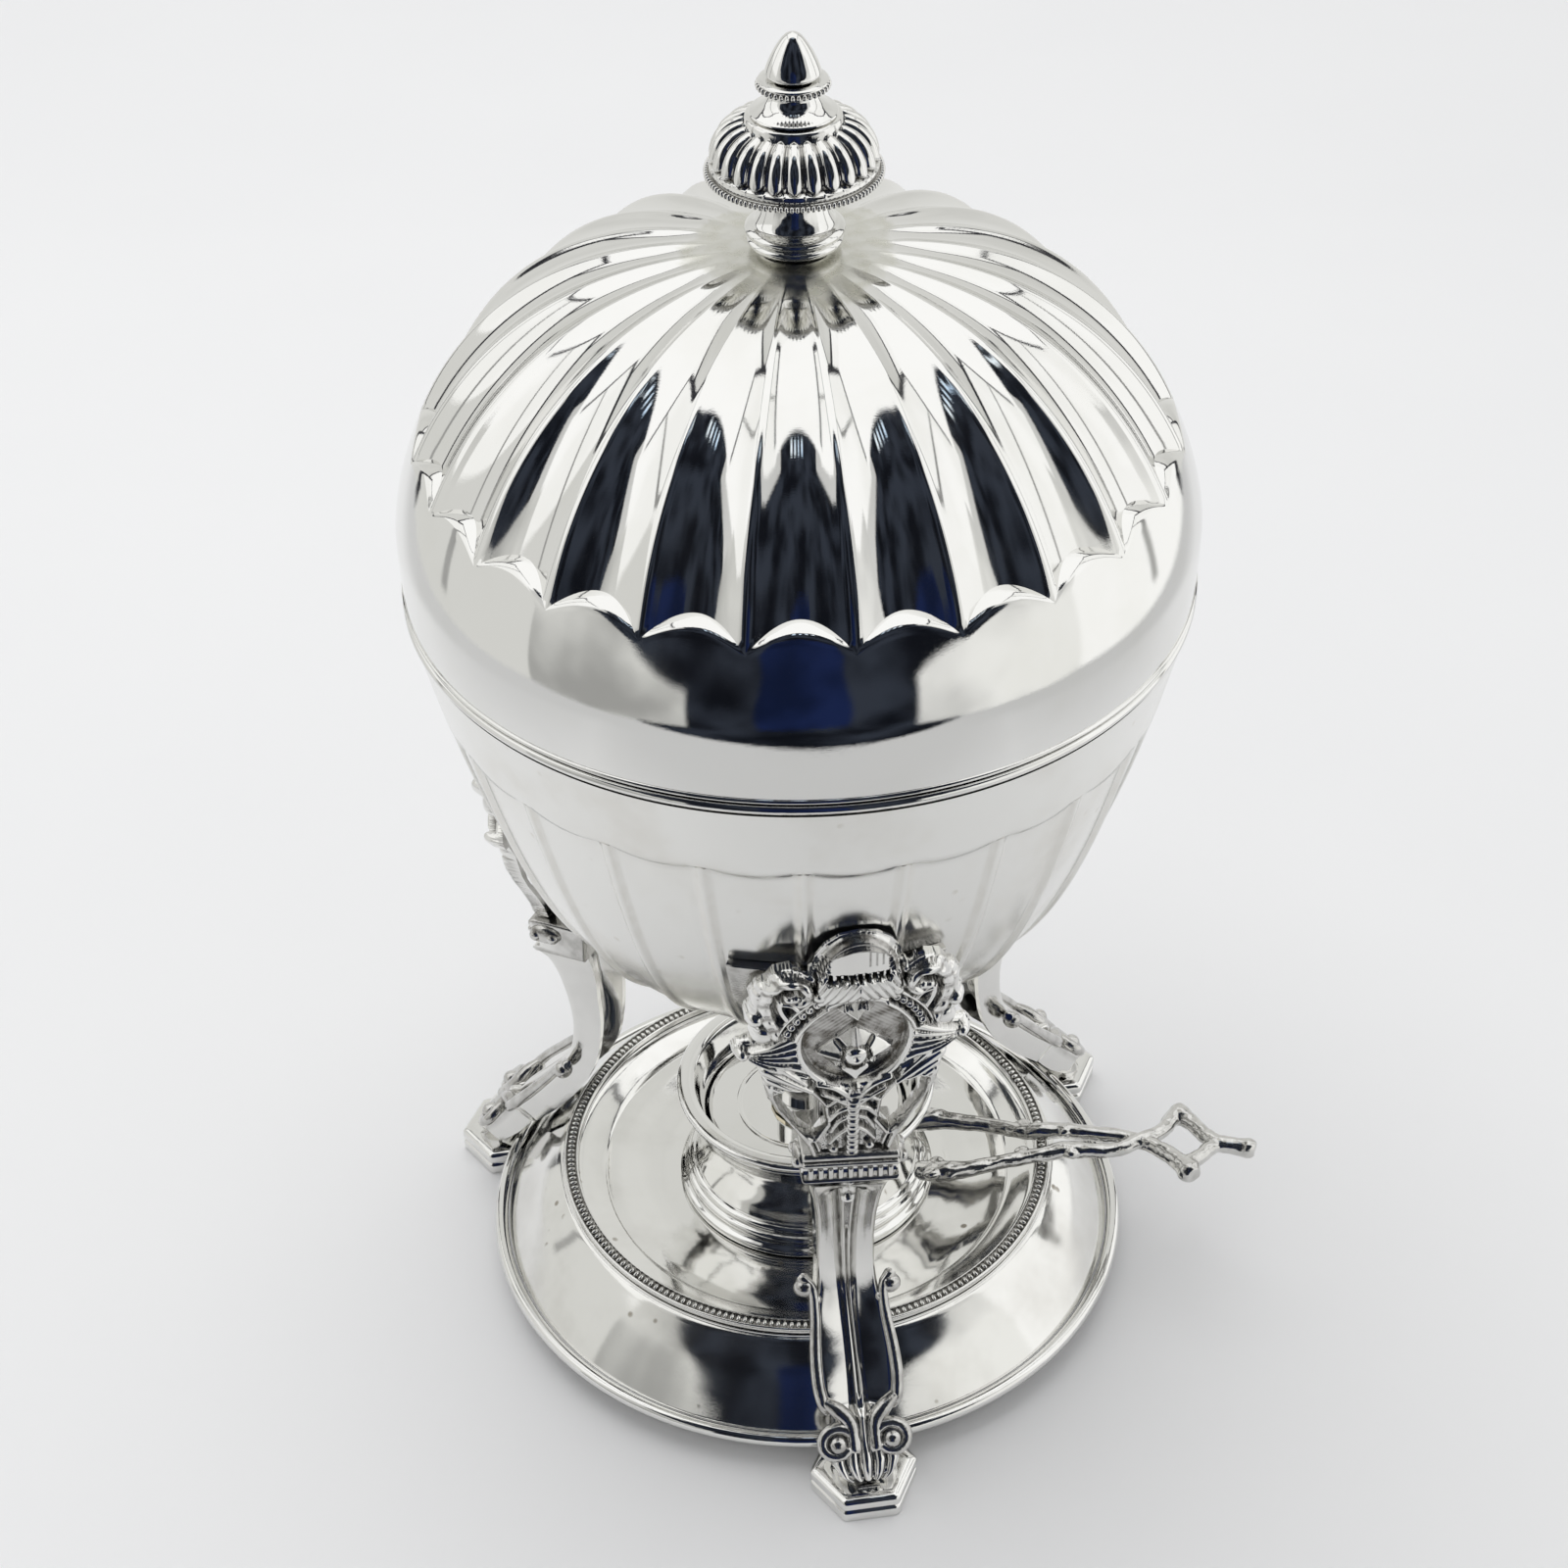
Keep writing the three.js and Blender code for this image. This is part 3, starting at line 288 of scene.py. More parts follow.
def fan(centre, ring, per, flip=False):
    """Triangles from one point to a ring of per points."""
    sides = [(ring * per + k, ring * per + (k + 1) % per) for k in range(per)]
    return [(centre, b, a) if flip else (centre, a, b) for a, b in sides]


def around(r, z, azimuth):
    """Rows of points about the axis; azimuth 0 is at the front."""
    return np.stack([r * np.sin(azimuth), -r * np.cos(azimuth), z], axis=-1).reshape(-1, 3)


def shell(r, z, azimuth):
    """A closed skin from rows of points about the axis; the last row joins the first."""
    rows, per = r.shape
    return around(r, z, azimuth), bands([(i, (i + 1) % rows) for i in range(rows)], per)


def turned(profile, segments, wave=None):
    """A body turned about Z, closed through the axis if the profile starts and ends there, else end to start."""
    profile = np.asarray(profile, dtype=float)
    poles = profile[0][0] < 1e-6 and profile[-1][0] < 1e-6
    rings = profile[1:-1] if poles else profile
    azimuth = np.arange(segments) * 2 * np.pi / segments
    r = np.repeat(rings[:, :1], segments, axis=1)
    z = np.repeat(rings[:, 1:2], segments, axis=1)
    if wave:
        r, z = wave(azimuth[None, :], r, z)
    if not poles:
        return shell(r, z, azimuth)
    last = len(rings) - 1
    low, high = len(rings) * segments, len(rings) * segments + 1
    verts = np.vstack([around(r, z, azimuth), [0, 0, profile[0][1]], [0, 0, profile[-1][1]]])
    faces = bands([(i, i + 1) for i in range(last)], segments)
    return verts, faces + fan(low, 0, segments, flip=True) + fan(high, last, segments)


def lofted(rows):
    """A skin through rings of as many points each, with a flat face at each end."""
    per, last = len(rows[0]), len(rows) - 1
    faces = bands([(i, i + 1) for i in range(last)], per)
    faces += [tuple(range(per)), tuple(last * per + k for k in reversed(range(per)))]
    return np.vstack(rows), faces


def torus(ring, wire, height, segments=160, sides=14):
    a = np.arange(sides) * 2 * np.pi / sides
    return turned(np.stack([ring + wire * np.cos(a), height + wire * np.sin(a)], axis=1), segments)


def joined(skins):
    verts, faces, base = [], [], 0
    for points, polygons in skins:
        verts.append(points)
        faces += [tuple(i + base for i in polygon) for polygon in polygons]
        base += len(points)
    return np.vstack(verts), faces


def moved(skin, shift):
    return skin[0] + np.array(shift), skin[1]


def bead_row(count, radius, height, bead, stretch=(1, 1, 1), rings=6, sides=8):
    """Beads set round the axis; stretch is along the ring, outwards and upwards."""
    tilt = np.pi * np.arange(1, rings)[:, None] / rings
    turn = 2 * np.pi * np.arange(sides)[None, :] / sides
    unit = np.stack([np.sin(tilt) * np.cos(turn), np.sin(tilt) * np.sin(turn), np.cos(tilt) + 0 * turn], axis=-1)
    unit = np.vstack([unit.reshape(-1, 3), [0, 0, 1], [0, 0, -1]]) * bead * np.array(stretch)
    last, top = rings - 2, (rings - 1) * sides
    faces = bands([(i + 1, i) for i in range(last)], sides) + fan(top, 0, sides)
    faces += fan(top + 1, last, sides, flip=True)
    along, out, up = unit.T
    beads = []
    for a in 2 * np.pi * np.arange(count) / count:
        x = along * math.cos(a) + (radius + out) * math.sin(a)
        y = along * math.sin(a) - (radius + out) * math.cos(a)
        beads.append((np.stack([x, y, height + up], axis=1), faces))
    return joined(beads)


def blob(size, centre, rings=10, sides=16):
    verts, faces = bead_row(1, 0, 0, 1, rings=rings, sides=sides)
    return verts * np.array(size) + np.array(centre), faces


def tube(points, count=24, sides=10, up=(0, 0, 1)):
    """A round bar through [x, y, z, radius] points, with rounded ends."""
    line = spline(points, count)
    centre, radius = line[:, :3], line[:, 3]
    tangent = np.gradient(centre, axis=0)
    tangent /= np.maximum(np.linalg.norm(tangent, axis=1), 1e-9)[:, None]
    sideways = np.cross(tangent, np.array(up, dtype=float))
    sideways /= np.maximum(np.linalg.norm(sideways, axis=1), 1e-9)[:, None]
    over = np.cross(sideways, tangent)

    def end_cap(i, sign):
        """Rings of the rounding beyond point i, the outermost first."""
        return [(centre[i] + sign * tangent[i] * radius[i] * (1 - t), i, math.sqrt(1 - (1 - t) ** 2))
                for t in (0.25, 0.6, 0.86, 0.97)]

    stations = end_cap(0, -1) + [(centre[i], i, 1.0) for i in range(len(centre))] + end_cap(-1, 1)[::-1]
    a = np.arange(sides)[:, None] * 2 * np.pi / sides
    return lofted([c + radius[i] * share * (np.cos(a) * sideways[i] + np.sin(a) * over[i])
                   for c, i, share in stations])


def bar(profile, half, rounding=0.4, steps=3):
    """An [out, up] outline drawn along the leg's width, with eased edges at its two ends."""
    middle = (profile.min(axis=0) + profile.max(axis=0)) / 2
    size = (profile.max(axis=0) - profile.min(axis=0)) / 2
    eased = []
    for t in np.linspace(0, math.pi / 2, steps + 1):
        outline = middle + (profile - middle) * (1 - rounding * (1 - math.sin(t)) / size)
        eased.append((half - rounding * (1 - math.cos(t)), outline))
    rows = [(-x, outline) for x, outline in eased] + [(x, outline) for x, outline in eased[::-1]]
    return lofted([np.stack([np.full(len(o), x), -o[:, 0], o[:, 1]], axis=1) for x, o in rows])


def smoothstep(x):
    x = np.clip(x, 0, 1)
    return x * x * (3 - 2 * x)


def sector(azimuth, count, centre):
    """-1 to 1 across each of count equal sectors, 0 at the middle of the one at centre."""
    return 2 * (((azimuth - centre) * count / (2 * np.pi) + 0.5) % 1) - 1


# ---- lid ----

_, LID_FOOT, LID_TOP = extent("lid_shell")
LID_RADIUS, LID_WALL = 65.12, 1.0
DOME_START = LID_FOOT + 11.5    # the plain band ends here
CUSP_HEIGHT = DOME_START + 13   # where the feet of two flutes meet
ARCH = 5.2                      # how far the middle of a flute's foot lies above that
FLUTES, PER_FLUTE = 24, 24      # flutes, and points across each
FLUTE_DEPTH = 2.25
FLUTE_SIDE = 0.86               # share of a flute's half width where the fillet at its rib starts


def lid_line():
    """The lid's side along the ribs, from its foot to the hole for the stud."""
    z = np.linspace(LID_FOOT + 0.3, DOME_START, 60)[:-1]
    band = np.stack([LID_RADIUS - 0.36 * ((DOME_START - z) / (DOME_START - z[0])) ** 2.2, z], axis=1)
    t = 1 - (1 - np.linspace(0, 1, 900)) ** 2.5
    dome = LID_RADIUS * (1 - t ** 1.458) ** (1 / 2.96), DOME_START + (LID_TOP - DOME_START) * t
    line = np.vstack([band, np.stack(dome, axis=1)])
    return line[line[:, 0] > 2.0]


def build_lid():
    line = lid_line()
    length, normal = measured(line, 1)
    azimuth = TURN + math.pi / FLUTES + np.arange(FLUTES * PER_FLUTE) * 2 * np.pi / (FLUTES * PER_FLUTE)
    u = sector(azimuth, FLUTES, TURN)
    arch = 1 - u * u
    edge = np.interp(CUSP_HEIGHT, line[:, 1], length) + ARCH * arch
    shoulder = edge - 0.3 - 2.3 * arch
    # round across each flute, with a fillet at its two ribs
    hump = np.where(np.abs(u) < FLUTE_SIDE, arch, 0.14 + 6.14 * (1 - np.abs(u)) ** 2)
    hump = (hump - 0.14) / 0.86

    rows = [(shoulder * k, 0 * u) for k in np.linspace(0, 1, 26)]
    feet = len(rows)
    rows += [(shoulder + (edge - shoulder) * k, k ** 1.7 * hump) for k in (0.12, 0.26, 0.42, 0.6, 0.8, 0.93, 1.0)]
    flutes = len(rows)
    rows += [(edge + (length[-1] - edge) * k, hump) for k in 1 - (1 - np.linspace(0, 1, 64)[1:]) ** 1.25]
    s, sunk = (np.array(part) for part in zip(*rows))
    ridge_r, ridge_z = np.interp(s, length, line[:, 0]), np.interp(s, length, line[:, 1])
    normal_r, normal_z = np.interp(s, length, normal[:, 0]), np.interp(s, length, normal[:, 1])
    depth = FLUTE_DEPTH * sunk * np.minimum(ridge_r / 58, 1) ** 1.1 * smoothstep((ridge_r - 8) / 14)
    depth *= np.where(s > edge, 0.985 + 0.015 * smoothstep((s - edge) / 1.2), 1)
    out_r, out_z = ridge_r - normal_r * depth, ridge_z - normal_z * depth
    # the inside follows the outside in fewer rows
    inner = [*range(len(s) - 1, flutes - 1, -4), *range(flutes - 1, feet - 1, -2), 12, 0]
    in_r, in_z = (out_r - normal_r * LID_WALL)[inner], (out_z - normal_z * LID_WALL)[inner]
    in_z[-1] = out_z[0]
    skin = shell(np.vstack([out_r, in_r]), np.vstack([out_z, in_z]), azimuth)
    # a ragged patch of tarnish where the finial stands
    x, y, _ = skin[0].T
    radius, bearing = np.hypot(x, y), np.arctan2(x, -y)
    ragged = 16.4 + 1.3 * np.sin(3 * bearing + 0.8) + 0.8 * np.sin(7 * bearing) + 0.5 * np.sin(17 * bearing + 1.0)
    hollow = smoothstep((ragged - radius) / 0.7) * (0.86 + 0.14 * np.sin(9 * bearing + radius))
    piece("lid_dome", skin, "lid", POLISHED, ["lid_shell"], sharp=38, hollow=hollow)

    edge_bead = rounded([(63.5, 0), (64.9, 0, 0.3), (65.25, 0.45, 0.3), (64.9, 0.9, 0.3), (63.5, 0.9)],
                        lift=LID_FOOT + 0.05)
    piece("lid_edge", turned(edge_bead, 288), "lid", POLISHED)
    outer, base, _ = extent("lid_bezel")
    r = outer - 0.02
    bezel = rounded([(r - 2.0, 0, 0.2), (r - 0.6, 0, 0.3), (r - 0.55, 6.0, 0.3), (r, 6.7, 0.2), (r, 9.2, 0.2),
                     (r - 1.8, 9.2, 0.2), (r - 1.8, 3.0)], lift=base)
    piece("lid_inner_ring", turned(bezel, 192), "lid", POLISHED, ["lid_bezel"])


# ---- finial ----

BORE = 1.95      # clears the stud
LOBES, PER_LOBE = 26, 24


def build_knop():
    """The cushion knop: lobes between rounded grooves, with a fine line down each groove."""
    base = extent("finial_knop")[1]
    body = [(BORE, 0), (7.9, 0), (11.2, 0.45), (12.75, 1.1), (12.9, 1.9)]
    side = spline([(12.75, 2.05), (12.85, 3.2), (12.5, 5.0), (11.6, 6.8), (10.2, 8.2), (8.6, 9.0), (7.6, 9.25)], 44)
    cap = [(7.35, 9.2), (7.3, 9.55), (7.05, 9.75), (BORE, 9.75)]
    profile = np.vstack([body, side, cap]) + [0, base]
    lobed = np.zeros((len(profile), 1))
    lobed[len(body):len(body) + len(side)] = 1
    t = np.zeros((len(profile), 1))
    t[len(body):len(body) + len(side), 0] = np.linspace(0, 1, len(side))

    def wave(azimuth, r, z):
        u = sector(azimuth, LOBES, TURN)
        lower = np.sqrt(1 - np.clip((0.22 - t) / 0.13, 0, 1) ** 2)
        upper = np.sqrt(1 - np.clip((t - 0.86) / 0.14, 0, 1) ** 2)
        span = np.maximum((0.86 - 0.10 * t) * lower * upper, 1e-3)
        round_top = np.sqrt(np.clip(1 - (u / span) ** 2, 0, 1))
        groove_line = 0.18 * np.exp(-((np.abs(u) - 1) / 0.05) ** 2)
        sink = 0.95 * smoothstep((t - 0.055) / 0.035)
        lift = (round_top * 1.05 * (1 - 0.45 * t) + groove_line - sink) * lobed
        slope = np.gradient(profile, axis=0)
        normal = np.stack([slope[:, 1], -slope[:, 0]], axis=1)
        normal /= np.maximum(np.linalg.norm(normal, axis=1), 1e-9)[:, None]
        return r + normal[:, :1] * lift, z + normal[:, 1:] * lift

    skin = turned(profile, LOBES * PER_LOBE, wave)
    piece("finial_gadroon", skin, "lid", CAST, ["finial_knop"], sharp=60, hollow=hollow_of(skin, 0.10))


def beading(name, band, beads, tarnish, stands_for=()):
    """A row of beads on a tarnished band."""
    hollow = np.repeat([tarnish, 0.0], [len(band[0]), len(beads[0])])
    piece(name, joined([band, beads]), "lid", CAST, stands_for, sharp=80, hollow=hollow)


def build_finial():
    foot = rounded([
        (BORE, 0), (5.6, 0), (5.9, 0.3, 0.2), (6.4, 0.4, 0.3), (7.3, 0.8, 0.4), (7.5, 1.5, 0.4), (7.05, 1.95, 0.2),
        (6.75, 2.1), (7.05, 2.3, 0.2), (7.7, 2.7, 0.4), (7.75, 3.3, 0.4), (7.1, 3.9, 0.3), (6.3, 4.2, 0.5),
        (5.6, 5.4, 1.0), (5.1, 7.2, 1.4), (5.0, 8.8, 1.2), (5.5, 10.3, 1.0), (6.9, 11.3, 0.5), (7.0, 11.55),
        (BORE, 11.55)], lift=extent("finial_foot")[1])
    piece("finial_stem", turned(foot, 96), "lid", POLISHED, ["finial_foot"], sharp=45)
    build_knop()
    outer, low, high = extent("finial_bead_ring")
    middle = (low + high) / 2
    beading("finial_beads", torus(outer - 1.0, 0.40, middle - 0.1, 160, 10),
            bead_row(104, outer - 0.46, middle, 0.46, (0.80, 1, 1.15)), 0.8, ["finial_bead_ring"])
    waist = extent("finial_collar")[1]
    collar = rounded([
        (BORE, 0), (6.7, 0), (6.6, 0.25, 0.2), (5.6, 0.7, 0.6), (4.3, 1.7, 1.0), (3.75, 2.9, 0.8), (3.9, 3.5, 0.3),
        (4.5, 3.7, 0.2), (4.9, 4.0, 0.2), (5.0, 4.6, 0.2), (5.38, 4.8, 0.2), (5.3, 5.15, 0.3), (4.5, 5.38, 0.3),
        (BORE, 5.38)], lift=waist)
    piece("finial_waist", turned(collar, 96), "lid", POLISHED, ["finial_collar"], sharp=45)
    beading("finial_waist_beads", torus(4.85, 0.36, waist + 4.3, 96, 10),
            bead_row(38, 5.24, waist + 4.3, 0.44, (0.82, 1, 1.15)), 0.9)
    _, base, top = extent("finial_bud")
    side = spline([(3.9, 0.02), (4.2, 0.5), (3.9, 1.6), (3.3, 3.0), (2.55, 4.4), (1.65, 5.7), (0.9, 6.4),
                   (0.0, top - base)], 40)
    bud = np.vstack([(0, 3.0), (BORE, 3.0), (BORE, 0.02), side]) + [0, base]
    piece("finial_tip", turned(bud, 72), "lid", POLISHED, ["finial_bud"], sharp=60)


# ---- bowl ----

_, BOWL_FOOT, BOWL_TOP = extent("bowl_shell")
BOWL_RADIUS, BOWL_WALL = 64.6, 1.3
PANELS, PER_PANEL = 24, 24
PANEL_TOP = BOWL_TOP - 13.3      # height of the cusps between the panels' arched tops
REED, PANEL_DEPTH = 0.62, 0.68   # half width of the reed between two panels, and how deep a panel lies


def bowl_radius(z, offset=0.0):
    s = np.clip((BOWL_TOP - z) / (BOWL_TOP - BOWL_FOOT + offset), 0, 1)
    return (BOWL_RADIUS + offset) * (1 - s ** 0.94) ** (1 / 4.6)


def build_bowl():
    z = BOWL_TOP - (BOWL_TOP - BOWL_FOOT) * (1 - (1 - np.linspace(0, 1, 1200)) ** 3)
    line = np.stack([bowl_radius(z), z], axis=1)
    line = line[line[:, 0] > 0.5]
    length, normal = measured(line, -1)
    azimuth = TURN + np.arange(PANELS * PER_PANEL) * 2 * np.pi / (PANELS * PER_PANEL)
    u = sector(azimuth, PANELS, TURN + math.pi / PANELS)
    top = np.interp(-PANEL_TOP, -line[:, 1], length) + 1.5 * (1 - u * u)
    step = 0.8                   # the slope from the plain band down to the panels
    rows = [(top * k, 0.0) for k in np.linspace(0, 1, 12)]
    plain = len(rows)
    rows += [(top + step * k, smoothstep(k)) for k in (0.25, 0.5, 0.75, 1.0)]
    rows += [(top + step + (length[-1] - top - step) * k, 1.0) for k in np.linspace(0, 1, 60)[1:]]
    s = np.array([row for row, _ in rows])
    on = np.array([share for _, share in rows])[:, None]
    r = np.interp(s, length, line[:, 0])
    gap = (1 - np.abs(u)) * np.pi * r / PANELS
    fade = smoothstep((r - 8) / 26)
    slope = smoothstep((gap - REED) / 0.7) * PANEL_DEPTH * (0.78 + 0.22 * (1 - u * u))
    depth = on * fade * (slope + smoothstep((gap - REED * 0.25) / 0.3) * 0.14)
    out_r = r - np.interp(s, length, normal[:, 0]) * depth
    out_z = np.interp(s, length, line[:, 1]) - np.interp(s, length, normal[:, 1]) * depth
    floor = BOWL_FOOT + BOWL_WALL
    z = floor + (BOWL_TOP - floor) * np.linspace(0, 1, 40)[1:] ** 1.6
    in_r = np.repeat(bowl_radius(z, -BOWL_WALL)[:, None], len(u), axis=1)
    in_z = np.repeat(z[:, None], len(u), axis=1)
    # outside rows from the mouth down, inside rows up again, closed at the bottom by two fans
    per, outside, count = len(u), len(out_r), len(out_r) + len(in_r)
    verts = around(np.vstack([out_r, in_r]), np.vstack([out_z, in_z]), azimuth)
    verts = np.vstack([verts, [0, 0, BOWL_FOOT], [0, 0, floor]])
    faces = bands([(i, (i + 1) % count) for i in range(count) if i != outside - 1], per)
    faces += fan(count * per, outside - 1, per) + fan(count * per + 1, outside, per, flip=True)
    # painted shade: a dark line beside each reed, and a darker line along the step under the panels' arched tops
    groove_shade = smoothstep((0.9 - np.abs(gap - REED - 0.3)) / 0.9) * on * fade * 0.4
    groove_shade[plain:plain + 3] = np.maximum(groove_shade[plain:plain + 3], [[0.5], [0.85], [0.6]])
    hollow = np.zeros(len(verts))
    hollow[:outside * per] = groove_shade.ravel()
    piece("bowl_body", (verts, faces), "stand", SATIN, ["bowl_shell"], sharp=50, hollow=hollow)

    outer, low, high = extent("bowl_rim")
    h = high - low
    rim = rounded([(63.4, 0), (64.5, 0, 0.2), (outer - 0.35, 0.35, 0.3), (outer - 0.02, 0.95, 0.5),
                   (outer - 0.3, h - 0.2, 0.4), (64.4, h - 0.02, 0.3), (63.4, h - 0.02)], lift=low)
    piece("bowl_lip", turned(rim, 288), "stand", POLISHED, ["bowl_rim"])


# ---- tray ----

TRAY_WIRE = 1.28


def build_tray():
    outer, low, high = extent("tray_rim_wire")
    wire_z = (low + high) / 2
    piece("tray_edge", torus(outer - 1.3, TRAY_WIRE, wire_z, 240, 18), "stand", POLISHED, ["tray_rim_wire"])

    ledge = extent("tray_dish")[2]
    w = wire_z - ledge           # the wire's height seen from the ledge
    skirt = spline([(58.15, w + 0.5), (55.2, w + 4.5), (51.6, w + 9.0), (48.0, -1.0)], 26)
    top = rounded([
        (48.0, -1.0), (47.45, -0.55, 0.3), (47.0, -0.4, 0.2), (46.9, -0.05, 0.1), (46.6, 0), (44.35, 0),
        (44.1, 0, 0.2), (43.9, -0.35, 0.3), (43.3, -0.75, 0.6), (41.6, -1.3, 1.2), (39.6, -2.1, 0.8),
        (39.0, -2.45, 0.3), (38.7, -2.75, 0.15), (38.2, -2.8, 0.3), (36.0, -3.05, 1.0), (31.5, -4.0, 1.5),
        (27.8, -4.38, 0.8), (0, -4.4)])
    under = [(0, -5.35), (28.5, -5.35), (33, -4.7), (39.5, -3.0), (44.4, -1.0), (46.0, -1.05), (46.9, -1.9),
             (51.0, w + 7.6), (57.4, w - 0.5), (58.1, w - 0.5)]
    plate = np.vstack([under, skirt[:-1], top]) + [0, ledge]
    piece("tray_plate", turned(plate, 240), "stand", TRAY, ["tray_dish"], sharp=28)

    outer, low, high = extent("tray_bead_ring")
    ring, z = outer - 0.8, (low + high) / 2
    edges = [turned(rounded([(ring + r, dz, *radius) for r, dz, *radius in outline], lift=z), 240) for outline in (
        [(0.9, -0.78), (1.35, -0.78, 0.1), (1.35, 0.2, 0.3), (1.0, 0.35, 0.2), (0.9, 0.1)],
        [(-1.3, -0.78), (-0.9, -0.78), (-0.9, 0.1, 0.1), (-1.0, 0.35, 0.2), (-1.3, 0.2, 0.3)],
        [(-0.95, -0.75), (0.95, -0.75), (0.95, -0.4), (-0.95, -0.4)])]
    beads = bead_row(232, ring, z - 0.1, 0.55, (0.80, 1.45, 0.95))
    hollow = np.repeat([0.0, 0.0, 1.0, 0.0], [len(verts) for verts, _ in (*edges, beads)])
    piece("tray_beading", joined([*edges, beads]), "stand", CAST, ["tray_bead_ring"], sharp=60, hollow=hollow)


# ---- burner ----

def build_burner():
    _, low, high = extent("burner_reservoir")
    top, plate = high - low, extent("burner_top_plate")[2]
    sunk = plate - low
    drum = rounded([
        (0, 0), (24.2, 0, 0.2), (24.4, 0.5, 0.4), (24.3, 1.2, 0.4), (23.5, 1.7, 0.3), (23.2, 2.0, 0.1),
        (23.3, 2.3, 0.2), (23.35, 3.0, 0.3), (22.9, 3.5, 0.3), (22.4, 3.7, 0.1), (22.4, 4.1, 0.2), (22.5, 4.7, 0.3),
        (21.9, 5.2, 0.3), (21.3, 5.4, 0.1), (21.1, 6.2, 0.5), (20.5, 8.5, 1.5), (20.2, 12.0, 2.5), (20.5, 15.5, 2.0),
        (21.5, 18.4, 1.5), (22.8, 20.3, 0.8), (23.2, 20.9, 0.1), (22.9, 21.3, 0.1), (23.0, 21.7, 0.1),
        (23.8, 22.0, 0.4), (24.35, 22.7, 0.5), (24.3, top - 0.5, 0.4), (23.6, top - 0.05, 0.4), (22.0, top, 0.4),
        (21.1, top - 0.35, 0.3), (20.8, top - 1.3, 0.4), (20.0, top - 4.6, 0.8), (18.9, sunk - 0.1),
        (18.8, sunk - 2.2), (18.0, 8.0), (20.4, 4.4), (20.4, 1.2), (0, 1.2)], lift=low)
    piece("burner_drum", turned(drum, 192), "burner", POLISHED, ["burner_reservoir"], sharp=40)
    disc = rounded([
        (4.55, -1.15), (18.4, -1.15), (18.45, -0.25, 0.2), (17.6, -0.05, 0.2), (13.2, -0.12, 0.2), (12.9, 0, 0.1),
        (12.5, 0, 0.1), (12.2, -0.14, 0.2), (4.55, -0.1)], lift=plate)
    piece("burner_disc", turned(disc, 192), "burner", POLISHED, ["burner_top_plate"], sharp=30)
    _, low, high = extent("burner_snuffer")
    foot = low - high
    cap = rounded([
        (0, -4.4), (3.1, -5.0, 0.6), (4.72, -6.4, 0.4), (4.72, foot + 0.02), (6.25, foot + 0.02, 0.2),
        (6.3, foot + 0.5, 0.2), (5.9, foot + 0.8, 0.15), (5.55, foot + 1.0, 0.3), (5.48, -5.4, 0.8), (4.4, -4.1, 0.8),
        (1.6, -3.4, 0.3), (1.0, -3.0, 0.2), (1.05, -2.6, 0.2), (1.9, -1.9, 0.5), (1.9, -1.1, 0.5), (1.2, -0.15, 0.5),
        (0, 0)], lift=high)
    piece("burner_cap", turned(cap, 96), "snuffer", POLISHED, ["burner_snuffer"], sharp=40)


# ---- egg rack ----

RACK_WIRE, RACK_INSET = 1.15, 1.2    # the wire's radius, and its middle from a ring's outside


def rack_ring(node, segments=120):
    return torus(extent(node)[0] - RACK_INSET, RACK_WIRE, 0, segments, 14)


def build_rack():
    for i in range(1, 5):
        node = f"egg_ring_{i}"
        low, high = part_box(node)
        centre = ((np.array(low) + np.array(high)) / 2 - AXIS) / MM
        piece(f"rack_ring_{i}", moved(rack_ring(node), centre), "egg_rack", RACK, [node])
    _, low, high = extent("rack_foot_ring")
    base = moved(rack_ring("rack_foot_ring", 160), (0, 0, (low + high) / 2))
    piece("rack_base_ring", base, "egg_rack", RACK, ["rack_foot_ring"])
    _, low, high = extent("rack_stem")
    top = high - low
    stem = rounded([(0, 0), (1.9, 0, 0.3), (1.95, 2, 0.5), (1.6, 6, 2), (1.6, top - 6, 2), (1.95, top - 2, 0.5),
                    (1.9, top, 0.3), (0, top)], lift=low)
    piece("rack_post", turned(stem, 48), "egg_rack", RACK, ["rack_stem"])
    _, low, high = extent("rack_loop")
    verts, faces = rack_ring("rack_loop")
    upright = verts[:, [0, 2, 1]] + [0, 0, (low + high) / 2]
    piece("rack_handle_loop", (upright, faces), "egg_rack", RACK, ["rack_loop"])


# ---- legs ----

def leg_copies(name, skin, node, material=CAST, sharp=40, hollow=None):
    """The same piece on each leg: one mesh, turned about the bowl's middle."""
    first = piece(f"{name}_1", skin, "stand", material, [f"{node}_1"], sharp, hollow)
    about = Vector(AXIS)
    for k in (2, 3):
        other = bpy.data.objects.new(f"{name}_{k}", first.data)
        bpy.context.scene.collection.objects.link(other)
        turn = Matrix.Rotation(math.radians(120 * (k - 1)), 4, "Z")
        turn = Matrix.Translation(about) @ turn @ Matrix.Translation(-about)
        if name == "plinth":     # the part rests on these, so each has its own mesh in place
            other.data = first.data.copy()
            other.data.transform(turn)
        else:
            other.matrix_world = turn
        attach(other, "stand")
        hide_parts(f"{node}_{k}")


def inside_outline(x, z, outline):
    """Signed distance to a closed outline, positive inside."""
    p = np.stack([x, z], axis=-1)[..., None, :]
    a = np.array(outline, dtype=float)
    ab = np.roll(a, -1, axis=0) - a
    t = np.clip(((p - a) * ab).sum(-1) / np.maximum((ab * ab).sum(-1), 1e-12), 0, 1)
    near = np.linalg.norm(p - (a + t[..., None] * ab), axis=-1).min(-1)
    px, pz = x[..., None], z[..., None]
    rise = np.where(ab[:, 1] == 0, 1e-12, ab[:, 1])
    crosses = (a[:, 1] > pz) != (np.roll(a, -1, axis=0)[:, 1] > pz)
    crosses &= px < a[:, 0] + (pz - a[:, 1]) * ab[:, 0] / rise
    return np.where(crosses.sum(-1) % 2 == 1, near, -near)


